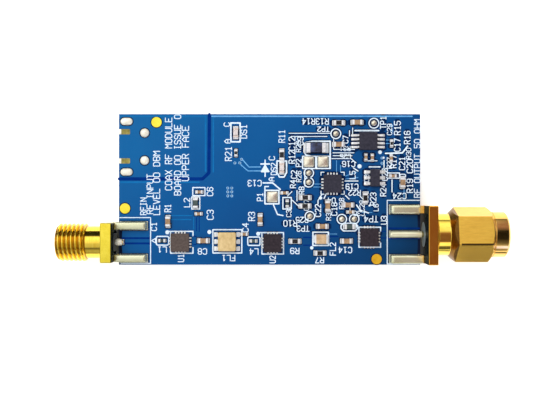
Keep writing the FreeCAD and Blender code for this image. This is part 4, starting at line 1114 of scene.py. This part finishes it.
def usb_joint_solder():
    """Mounds over the filled holes of the USB shell."""
    shells = Shells()
    for box in on_top(solids("usb_hole_lands")):
        x, y = middle(box)
        hx, hy = (h - 0.02 for h in half_size(box))
        dome(shells, lambda s: scaled(x, y, hx, hy, s, min(hx, hy) * s * 0.98, 6),
             box[1][2], 0.34 if hx > 0.75 else 0.36, n=8, flat=0.1)
    piece("usb_joint_solder", shells, "post_solder", smooth=60)


land_solder()
usb_joint_solder()


# ---------------------------------------------------------------- dark margins round the lands, and painted shade
def land_clearances(shells):
    """Dark margins round the lands on the upper face."""
    for box in on_top(solids("usb_hole_lands")):
        r = min(half_size(box))
        shells.tube(rounded(*plan(box, 0.16), r + 0.15, 6), rounded(*plan(box, 0.001), r, 6),
                    0.0, 0.004)
    for node, margin in (("test_lands", 0.19), ("fiducial_marks", 0.15)):
        for box in solids(node):
            x, y = middle(box)
            r = half_size(box)[0]
            shells.tube(circle(x, y, r + margin), circle(x, y, r + 0.001), 0.0, 0.004)
    # margins stay inside the board's outline
    limit_x, limit_y = BOARD_LENGTH / 2 - 0.01, BOARD_WIDTH / 2 - 0.01
    for boxes, margin in ((chip_lands, 0.13), (package_lands, 0.09),
                          (solids("power_lands"), 0.10), (solids("connector_lands"), 0.13)):
        for low, high in on_top(boxes):
            x0, x1, y0, y1 = plan((low, high), margin)
            x0, x1 = max(x0, -limit_x), min(x1, limit_x)
            y0, y1 = max(y0, -limit_y), min(y1, limit_y)
            inner = rounded(low[0] - 0.001, high[0] + 0.001,
                            max(low[1], y0 + 0.001), min(high[1], y1 - 0.001), 0.05, 3)
            # heights vary so that overlapping margins rarely share a plane
            height = 0.003 + 0.0004 * (len(shells.vertices) % 7)
            shells.tube(rounded(x0, x1, y0, y1, 0.1, 3), inner, 0.0, height)


def part_shade_margins(shells):
    """Painted shade in margins round the feet of the LEDs and the power inductor."""
    for box in solids("led_bases"):
        shells.tube(rounded(*plan(box, 0.22), 0.08, 4), rounded(*plan(box, 0.02), 0.04, 4),
                    0.0, 0.0381)
    _, x1, y0, y1 = plan(solids("power_inductor_body")[0])
    x0 = min(low[0] for low, _ in solids("power_inductor_end_caps"))
    shells.tube(rounded(x0 - 0.30, x1 + 0.28, y0 - 0.22, y1 + 0.22, 0.45, 6),
                rounded(x0 - 0.08, x1 - 0.05, y0 + 0.02, y1 - 0.02, 0.3, 6), 0.0, 0.0383)


def painted_edge_shade(shells):
    """Painted shade on the board along its edge between the legs of either connector."""
    for side, mid_y, half, shade_depth in ((-1, JACK_Y, 2.55, 0.62), (1, PLUG_Y, 3.95, 0.50)):
        edge = side * (BOARD_LENGTH / 2 - 0.004)
        points = []
        for k in range(25):
            t = -1 + 2 * k / 24
            points.append((edge - side * shade_depth * (0.80 + 0.45 * t ** 4), mid_y + half * t))
        points += [(edge, mid_y + half), (edge, mid_y - half)]
        if side > 0:                     # keeps the outline counter-clockwise
            points.reverse()
        shells.prism(points, 0.0, 0.0021)


# dark margins round the lands, with painted shade round some parts and along the board's edge by the
# connectors
margins_and_shade = Shells()
land_clearances(margins_and_shade)
part_shade_margins(margins_and_shade)
painted_edge_shade(margins_and_shade)
piece("margins_and_painted_shade", margins_and_shade, "mask_clearance")


def edge_tinning():
    """Solder wetted over the edge lands at the board's -X edge."""
    shells = Shells()
    edge = -BOARD_LENGTH / 2
    for low, high in on_top(solids("usb_edge_lands")):
        y, hy = (low[1] + high[1]) / 2, (high[1] - low[1]) / 2
        rings = []
        for s, rise in ((1.0, 0.0), (0.96, 0.035), (0.80, 0.07), (0.45, 0.095), (0.1, 0.10)):
            outline = rounded(edge - 0.02 + 0.22 * (1 - s), edge + 0.42 - 0.18 * (1 - s),
                              y - hy * s, y + hy * s, 0.10 * s + 0.02, 4)
            rings.append([(px, py, high[2] - 0.01 + rise) for px, py in outline])
        shells.rings(rings)
    if shells.vertices:
        piece("edge_tinning", shells, "post_solder", smooth=60)


def find_vias():
    """(middle, radius) of each small circle of points in the board's upper face."""
    limit_x, limit_y = BOARD_LENGTH / 2 - 0.01, BOARD_WIDTH / 2 - 0.01
    found = {}
    for vertex in frame["nodes"]["circuit_board"].data.vertices:
        x, y, z = to_mm(vertex.co)
        if z > -0.01 and abs(x) < limit_x and abs(y) < limit_y:
            found[(round(x, 3), round(y, 3))] = (x, y)
    points = list(found.values())
    used = [False] * len(points)
    vias = []
    for i in range(len(points)):
        if used[i]:
            continue
        group, stack = [], [i]
        used[i] = True
        while stack:
            x, y = points[stack.pop()]
            group.append((x, y))
            for k, (other_x, other_y) in enumerate(points):
                if not used[k] and (other_x - x) ** 2 + (other_y - y) ** 2 < 0.23 ** 2:
                    used[k] = True
                    stack.append(k)
        low, high = np.min(group, axis=0), np.max(group, axis=0)
        if max(high - low) < 0.5:
            vias.append(((high + low) / 2, max(high - low) / 2))
    return vias


def via_rims():
    """Rims on both faces and the plated barrel of every via."""
    shells, rim = Shells(), 0.012
    for (x, y), r in find_vias():
        for z0, z1 in ((0.0, rim), (-BOARD_THICKNESS - rim, -BOARD_THICKNESS)):
            shells.tube(circle(x, y, r + 0.08, 24), circle(x, y, r - 0.02, 24), z0, z1)
        shells.tube(circle(x, y, r - 0.001, 24), circle(x, y, r - 0.03, 24),
                    -BOARD_THICKNESS, 0.0)
    piece("via_rims", shells, "via_mask", smooth=40)


edge_tinning()
via_rims()

# ---------------------------------------------------------------- solder on the connectors
JACK_LEG, PLUG_LEG = 1.10, 1.27          # widths of the legs in y
JACK_LEG_HEIGHT, PLUG_LEG_HEIGHT = 1.00, 1.20
JACK_TAIL_R, PLUG_TAIL_R = 0.40, 0.50
JACK_LEGS = [(jack_low[1], jack_low[1] + JACK_LEG), (jack_high[1] - JACK_LEG, jack_high[1])]
PLUG_LEGS = [(plug_low[1], plug_low[1] + PLUG_LEG), (plug_high[1] - PLUG_LEG, plug_high[1])]
JACK_TAIL_X = to_mm(contact_box[1])[0]   # the tails' ends over the board
PLUG_TAIL_X = to_mm(pin_box[0])[0]


def leg_fillet(shells, land, leg, z0, sign, height, wobble=0.0):
    """Solder from a land's plan to a leg's; sign is +1 on the upper face, -1 on the lower."""
    n = 7
    rings = []
    for i in range(n + 1):
        s = i / n
        z = z0 + sign * height * (0.05 + 0.95 * s ** 1.9)
        outline = rounded(*between_plans(land, leg, s), 0.16 + 0.12 * (1 - s), 5)
        rings.append([(x, y + wobble * math.sin(2.1 * x + 1.3) * (1 - s), z)
                      for x, y in outline])
    rings.insert(0, [(x, y, z0) for x, y, _ in rings[0]])
    if sign < 0:
        rings = [list(reversed(ring)) for ring in rings]
    shells.rings(rings)


def connector_solder():
    shells = Shells()
    for box in solids("connector_lands"):
        low, high = box
        upper = high[2] > 0
        x, y = middle(box)
        is_jack = x < 0
        if is_jack:
            legs, leg_x, height = JACK_LEGS, jack_high[0], JACK_LEG_HEIGHT
            tail_x, tail_y, tail_r = JACK_TAIL_X, JACK_Y, JACK_TAIL_R
        else:
            legs, leg_x, height = PLUG_LEGS, plug_low[0], PLUG_LEG_HEIGHT
            tail_x, tail_y, tail_r = PLUG_TAIL_X, PLUG_Y, PLUG_TAIL_R

        def span(end, extra):
            """x range from the land's outer side to just past an end over the board."""
            return (low[0] + 0.02, end + extra) if is_jack else (end - extra, high[0] - 0.02)

        land = plan(box, -0.01)
        hit = [leg for leg in legs if leg[0] - 0.3 < y < leg[1] + 0.3]
        if hit:
            gap = 0.015
            x0, x1 = span(leg_x, gap)
            leg = (max(x0, land[0]), min(x1, land[1]), hit[0][0] - gap, hit[0][1] + gap)
            z0, sign = (high[2], 1) if upper else (low[2], -1)
            leg_fillet(shells, land, leg, z0, sign, height * 0.80, wobble=0.03)
        elif upper:
            gap = 0.02
            tail = (*span(tail_x, 0.05), tail_y - tail_r - gap, tail_y + tail_r + gap)
            leg_fillet(shells, land, tail, high[2], 1, tail_r * 1.15)
    piece("connector_solder", shells, "leg_solder", smooth=50)


def leg_tinning():
    """Tinned, slightly crowned upper faces of the legs."""
    shells, lap = Shells(), 0.012
    rows = [(leg, -25.51, jack_high[0], JACK_LEG_HEIGHT) for leg in JACK_LEGS]
    rows += [(leg, plug_low[0], end, PLUG_LEG_HEIGHT)
             for leg, end in zip(PLUG_LEGS, (25.38, 24.85))]
    # share of the half width taken in, height over the leg
    crown = ((0.0, -0.10), (0.0, 0.004), (0.10, 0.05), (0.30, 0.085), (0.62, 0.105),
             (0.93, 0.11))
    for (y0, y1), x0, x1, height in rows:
        half, mid = (y1 - y0) / 2 + lap, (y0 + y1) / 2
        rings = []
        for s, rise in crown:
            inset = half * s
            outline = rounded(x0 - lap + inset * 0.8, x1 + lap - inset * 0.8,
                              mid - half + inset, mid + half - inset, 0.2, 4)
            rings.append([(x, y, LAND_TOP + height + rise + 0.012 * math.sin(3.1 * x))
                          for x, y in outline])
        shells.rings(rings)
    piece("leg_tinning", shells, "leg_solder", smooth=50)


def turned(name, stations, y, z, material):
    """A solid of (x, radius) stations about an axis along X."""
    k = 20
    rings = []
    for x, r in stations:
        angles = [2 * math.pi * j / k for j in reversed(range(k))]
        rings.append([(x, y + r * math.cos(q), z + r * math.sin(q)) for q in angles])
    shells = Shells()
    shells.rings(rings)
    piece(name, shells, material, smooth=60)


def plug_tail_solder():
    """A coat along the pin's tail, rounded off at its end over the board."""
    n, start, end = 16, PLUG_TAIL_X - 0.10, 25.36
    # x from start, share of the tail's radius
    tip = ((-0.16, 0.45), (-0.11, 0.82), (0.0, 1.03), (0.16, 1.07))
    stations = []
    for i in range(n + 1):
        if i < 4:
            x, share = start + tip[i][0], tip[i][1]
        else:
            x = start + 0.16 + (end - start - 0.16) * (i - 3) / (n - 3)
            share = {n - 1: 1.03, n: 0.96}.get(i, 1.07)
        stations.append((x, PLUG_TAIL_R * share * (1 + 0.012 * math.sin(i * 1.7))))
    turned("tail_solder", stations, PLUG_Y, PLUG_Z, "tail_solder")


def jack_tail_solder():
    """A swollen bead from the flange along the contact's tail."""
    n, start, end = 12, -25.50, JACK_TAIL_X + 0.12
    last_shares = (1.02, 0.8, 0.35)
    stations = []
    for i in range(n + 1):
        swell = math.sin(math.pi * (i / n) ** 0.8)
        share = 1.04 + 0.38 * swell if i < n - 2 else last_shares[i - n + 2]
        stations.append((start + (end - start) * i / n, JACK_TAIL_R * share))
    turned("jack_tail_solder", stations, JACK_Y, JACK_Z, "post_solder")


connector_solder()
leg_tinning()
plug_tail_solder()
jack_tail_solder()

# ---------------------------------------------------------------- input jack
FLANGE_HALF = 3.25                       # half of the square flange
FLANGE_X0, FLANGE_X1 = -27.40, -25.55    # its two faces
TIP_X = jack_low[0]                      # open end of the barrel
NECK_R, THREAD_R = 2.65, 3.12
THREAD_PITCH, THREAD_DEPTH = 25.4 / 36, 0.37
THREAD_X = FLANGE_X0 - 2.65              # where the thread begins, running towards -X
RECESS_R, RECESS_X = 2.30, TIP_X + 1.93  # recess at the open end
BORE_R = 2.05                            # bore for the insulator


def groove(turns):
    """Thread form over one turn: 0 at the crest and 1 at the root."""
    turns -= math.floor(turns)
    falls, root_from, root_to, crest_from = 0.17, 0.47, 0.66, 0.96
    if turns < falls or turns >= crest_from:
        return 0.0
    if turns < root_from:
        t = (turns - falls) / (root_from - falls)
    elif turns < root_to:
        return 1.0
    else:
        t = (crest_from - turns) / (crest_from - root_to)
    return t * t * (3 - 2 * t) * 0.35 + t * 0.65


def barrel_radius(x, angle):
    """Outer radius of the barrel at x, for an angle round its axis."""
    if x > THREAD_X:
        return NECK_R
    along = THREAD_X - x
    radius = THREAD_R
    if along < 0.20:
        radius = NECK_R + (THREAD_R - NECK_R) * (along / 0.20)
    turns = (along - 0.10) / THREAD_PITCH + angle / (2 * math.pi)
    fade_in = min(1.0, max(0.0, (along - 0.12) / 0.25))
    radius = min(radius, THREAD_R - THREAD_DEPTH * fade_in * groove(turns))
    from_tip = x - TIP_X
    if from_tip < 0.42:
        radius = min(radius, THREAD_R - 0.38 * (1 - from_tip / 0.42))
    return radius


def steps_down(x, limit, step):
    out = []
    while x > limit:
        out.append(x)
        x -= step
    return out


def jack_barrel():
    """The barrel with its real helical thread, hollow, made as one closed loop of rings."""
    n = 144
    angles = [2 * math.pi * j / n for j in range(n)]
    stations = [FLANGE_X0 + 0.6, FLANGE_X0 + 0.02, FLANGE_X0 - 0.05]
    stations += steps_down(FLANGE_X0 - 0.3, THREAD_X + 0.05, 0.3)
    stations.append(THREAD_X + 0.03)
    stations += steps_down(THREAD_X, TIP_X + 0.05, 0.0245)
    stations += [TIP_X + 0.025, TIP_X]
    profiles = [(x, [barrel_radius(x, q) for q in angles]) for x in stations]
    inside = ((TIP_X, RECESS_R + 0.07), (TIP_X + 0.07, RECESS_R), (RECESS_X, RECESS_R),
              (RECESS_X, BORE_R), (FLANGE_X0 + 0.6, BORE_R))
    profiles += [(x, [r] * n) for x, r in inside]
    shells = Shells()
    shells.loop([[(x, JACK_Y + r * math.cos(q), JACK_Z + r * math.sin(q))
                  for q, r in zip(angles, radii)] for x, radii in profiles], flip=True)
    return piece("jack_barrel", shells, "gold_turned", smooth=42)


def jack_flange():
    """The square flange with rounded edges and a round bore."""
    easing, width = 0.13, FLANGE_X1 - FLANGE_X0
    # distance from the face, inset of the outline
    edge = [(0.0, easing), (0.02, easing * 0.55), (0.06, 0.03), (easing, 0.0),
            (easing + 0.02, 0.0)]
    rings = []
    for dx, inset in edge + [(width - dx, inset) for dx, inset in reversed(edge)]:
        half = FLANGE_HALF - inset
        rings.append([(FLANGE_X0 + dx, JACK_Y + a, JACK_Z + b)
                      for a, b in rounded(-half, half, -half, half, 0.16, 9)])
    angles = [math.atan2(z - JACK_Z, y - JACK_Y) for _, y, z in rings[0]]
    for x in (FLANGE_X1, FLANGE_X0):
        rings.append([(x, JACK_Y + BORE_R * math.cos(q), JACK_Z + BORE_R * math.sin(q))
                      for q in angles])
    shells = Shells()
    shells.loop(rings)
    piece("jack_flange", shells, "gold_flange", smooth=40)


def jack_legs():
    """Four legs that hold the board between them, rounded at their ends over it."""
    # x, inset
    stations = ((FLANGE_X1 - 0.4, 0.0), (-20.72, 0.0), (-20.68, 0.0), (-20.60, 0.03),
                (-20.54, 0.09), (-20.50, 0.18))
    shells = Shells()
    for y0 in (JACK_Y - FLANGE_HALF, JACK_Y + FLANGE_HALF - JACK_LEG):
        for z0 in (LAND_TOP, -BOARD_THICKNESS - LAND_TOP - JACK_LEG_HEIGHT):
            shells.rings([[(x, a, b) for a, b in rounded(
                y0 + inset, y0 + JACK_LEG - inset,
                z0 + inset, z0 + JACK_LEG_HEIGHT - inset, 0.06, 4)] for x, inset in stations])
    piece("jack_legs", shells, "leg_plating", smooth=40)


barrel = jack_barrel()
jack_flange()
jack_legs()
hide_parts("input_jack_body")


# ---------------------------------------------------------------- floor
def floor_material():
    """Pale floor, clear from below, with a contact shade under the module."""
    graph, bsdf = new_material("pale_floor")
    paint = graph.ramp(graph.noise(3.0, seed=50.0),
                       [(0.3, (0.93, 0.93, 0.925, 1)), (0.7, (0.95, 0.95, 0.945, 1))])
    xyz = graph.xyz(graph.coords())

    def band(value, low, high, soft):
        """1 between low and high, falling to 0 at both over soft metres, inwards."""
        return graph.product(graph.map_range(value, low, low + soft),
                             graph.map_range(value, high, high - soft))

    def patch(x0, x1, y0, y1, soft_x, soft_y):
        low, high = at(x0, y0), at(x1, y1)
        return graph.product(band(xyz["X"], low[0], high[0], soft_x),
                             band(xyz["Y"], low[1], high[1], soft_y))

    under_board = graph.product(patch(-25.6, 25.6, -12.6, 12.6, 0.0045, 0.0045), 0.42)
    # the shade by the jack's flange shows only from straight above
    incoming = graph.xyz(graph.geometry("Incoming"))["Z"]
    under_jack = graph.product(
        patch(-27.6, -24.8, JACK_Y - 3.1, JACK_Y + 3.1, 0.0006, 0.0006), 0.9,
        graph.map_range(incoming, 0.955, 0.975))
    colour = graph.mix(graph.math("MAXIMUM", under_board, under_jack), paint,
                       (0.012, 0.016, 0.02, 1))
    # a dark area beside the plug that only reflections see
    reflected = graph.product(patch(33.0, 62.0, -110.0, -26.0, 0.005, 0.006),
                              graph.light_path("Is Glossy Ray"), 0.88)
    colour = graph.mix(reflected, colour, (0.02, 0.02, 0.02, 1))
    graph.fill(bsdf, {"Base Color": colour, "Roughness": 0.9, "Specular IOR Level": 0.1})
    glow = graph.node("Emission", {"Color": colour, "Strength": 0.50})
    lit = graph.node("AddShader", {0: bsdf.outputs[0], 1: glow.outputs[0]})
    clear = graph.node("BsdfTransparent")
    one_sided = graph.node("MixShader", {"Fac": graph.geometry("Backfacing"),
                                         1: lit.outputs[0], 2: clear.outputs[0]})
    graph.fill(graph.tree.nodes["Material Output"], {"Surface": one_sided.outputs[0]})


def make_floor():
    floor_material()
    half, z = 3.0, CAD_BOX[0][2] - 0.0004
    mesh = bpy.data.meshes.new("floor")
    corners = [(-half, -half, z), (half, -half, z), (half, half, z), (-half, half, z)]
    mesh.from_pydata(corners, [], [(0, 1, 2, 3)])
    mesh.materials.append(materials["pale_floor"])
    floor = bpy.data.objects.new("floor", mesh)
    SCENE.collection.objects.link(floor)


make_floor()

# ---------------------------------------------------------------- world
# What reflections see: (degrees from straight up towards +Y, brightness). The three walls
# serve directions towards -X, towards the middle and a little +X, and further towards +X.
LEFT_WALL = [
    (-110, 0.80), (-98, 0.75), (-84, 0.24), (-74, 0.30), (-62, 0.34), (-52, 0.22), (-42, 0.07),
    (-34, 0.42), (-22, 0.46), (-10, 0.50), (0, 0.72), (12, 0.86), (26, 1.0), (40, 0.95),
    (48, 0.05), (56, 0.015), (98, 0.015), (106, 0.4), (114, 0.75)]
RIGHT_WALL = [
    (-112, 0.8), (-98, 0.30), (-90, 0.10), (-68, 0.10), (-62, 0.9), (-46, 0.95), (-38, 0.13),
    (-26, 0.14), (8, 0.15), (16, 0.50), (25, 0.74), (44, 0.85), (66, 0.95), (76, 0.60),
    (86, 0.16), (96, 0.2), (106, 0.7)]
FAR_WALL = [
    (-104, 0.8), (-92, 0.6), (-85, 0.22), (-78, 0.6), (-72, 1.0), (-64, 1.0), (-56, 0.20),
    (-44, 0.08), (-32, 0.06), (-22, 0.012), (20, 0.006), (30, 0.11), (42, 0.22), (66, 0.17),
    (82, 0.12), (89, 0.03), (96, 0.2), (106, 0.7)]


def make_world():
    world = bpy.data.worlds.new("studio")
    SCENE.world = world
    world.use_nodes = True
    graph = Graph(world.node_tree)
    for node in list(graph.tree.nodes):
        graph.tree.nodes.remove(node)
    xyz = graph.xyz(graph.node("TexCoord").outputs["Generated"])
    angle = graph.math("DIVIDE", graph.math("ARCTAN2", xyz["Y"], xyz["Z"]), math.pi / 180)
    position = graph.math("MULTIPLY_ADD", angle, 1 / 240, 0.5)    # -120..120 degrees to 0..1

    def wall(stops):
        return graph.ramp(position, [(d / 240 + 0.5, value) for d, value in stops])

    def tinted(colour, a, b, c, d, tint):
        """Multiplies by tint between b and c degrees, fading out to a and d."""
        return graph.mix(wall([(a, 0.0), (b, 1.0), (c, 1.0), (d, 0.0)]), colour, tint,
                         "MULTIPLY")

    def cross(value, low, high, first, second):
        share = graph.map_range(value, low, high, interpolation_type="SMOOTHSTEP")
        return graph.mix(share, first, second)

    # a warm brown ceiling, then a mauve upper wall and a cool low window
    right = tinted(wall(RIGHT_WALL), -46, -36, 10, 18, (1.08, 0.56, 0.57, 1))
    far = tinted(wall(FAR_WALL), 16, 28, 74, 84, (1.10, 0.70, 0.95, 1))
    far = tinted(far, -80, -73, -63, -57, (1.0, 1.15, 3.2, 1))
    studio = cross(xyz["X"], -0.19, 0.15, wall(LEFT_WALL), right)
    studio = cross(xyz["X"], 0.37, 0.43, studio, far)
    # plain grey towards either end of the module
    studio = cross(graph.math("ABSOLUTE", xyz["X"]), 0.62, 0.92, studio, (0.30, 0.30, 0.31, 1))

    def background(colour, strength):
        inputs = {"Color": colour, "Strength": strength}
        return graph.node("Background", inputs).outputs[0]

    rays = graph.node("LightPath").outputs
    light = graph.node("MixShader", {"Fac": rays["Is Glossy Ray"],
                                     1: background((0.96, 0.98, 1.0, 1), 0.62),
                                     2: background(studio, 1.6)})
    seen = graph.node("MixShader", {"Fac": rays["Is Camera Ray"], 1: light.outputs[0],
                                    2: background((0.97, 0.97, 0.97, 1), 1.0)})
    graph.node("OutputWorld", {"Surface": seen.outputs[0]})


make_world()

# ---------------------------------------------------------------- lights and camera
TARGET = Vector(at(1.726, -1.76, 0.0))


def area_light(name, place, energy, colour=(1, 1, 1)):
    """A square light aimed at the target, hidden from reflections and the camera."""
    light = bpy.data.lights.new(name, "AREA")
    light.shape = "RECTANGLE"
    light.size = light.size_y = 0.30
    light.energy = energy
    light.color = colour
    made = bpy.data.objects.new(name, light)
    SCENE.collection.objects.link(made)
    made.location = place
    made.rotation_euler = (TARGET - Vector(place)).to_track_quat("-Z", "Y").to_euler()
    made.visible_glossy = False
    made.visible_camera = False


area_light("key", (-0.22, 0.20, 0.42), energy=1.9, colour=(1.0, 0.99, 0.97))
area_light("fill", (0.26, -0.24, 0.36), energy=0.7, colour=(0.97, 0.98, 1.0))
area_light("under", (-0.05, -0.10, -0.30), energy=0.8)

# the camera looks straight down from CAMERA_HEIGHT above the target
CAMERA_HEIGHT = 0.135
lens = bpy.data.cameras.new("camera")
lens.sensor_width = 36.0
lens.lens = 52.30
lens.clip_start = 0.005
lens.clip_end = 10.0
camera = bpy.data.objects.new("camera", lens)
SCENE.collection.objects.link(camera)
camera.location = (TARGET.x, TARGET.y, TARGET.z + CAMERA_HEIGHT)
SCENE.camera = camera
SCENE.view_settings.view_transform = "Standard"
SCENE.view_settings.look = "None"
SCENE.view_settings.exposure = 0.0
SCENE.view_settings.gamma = 1.0
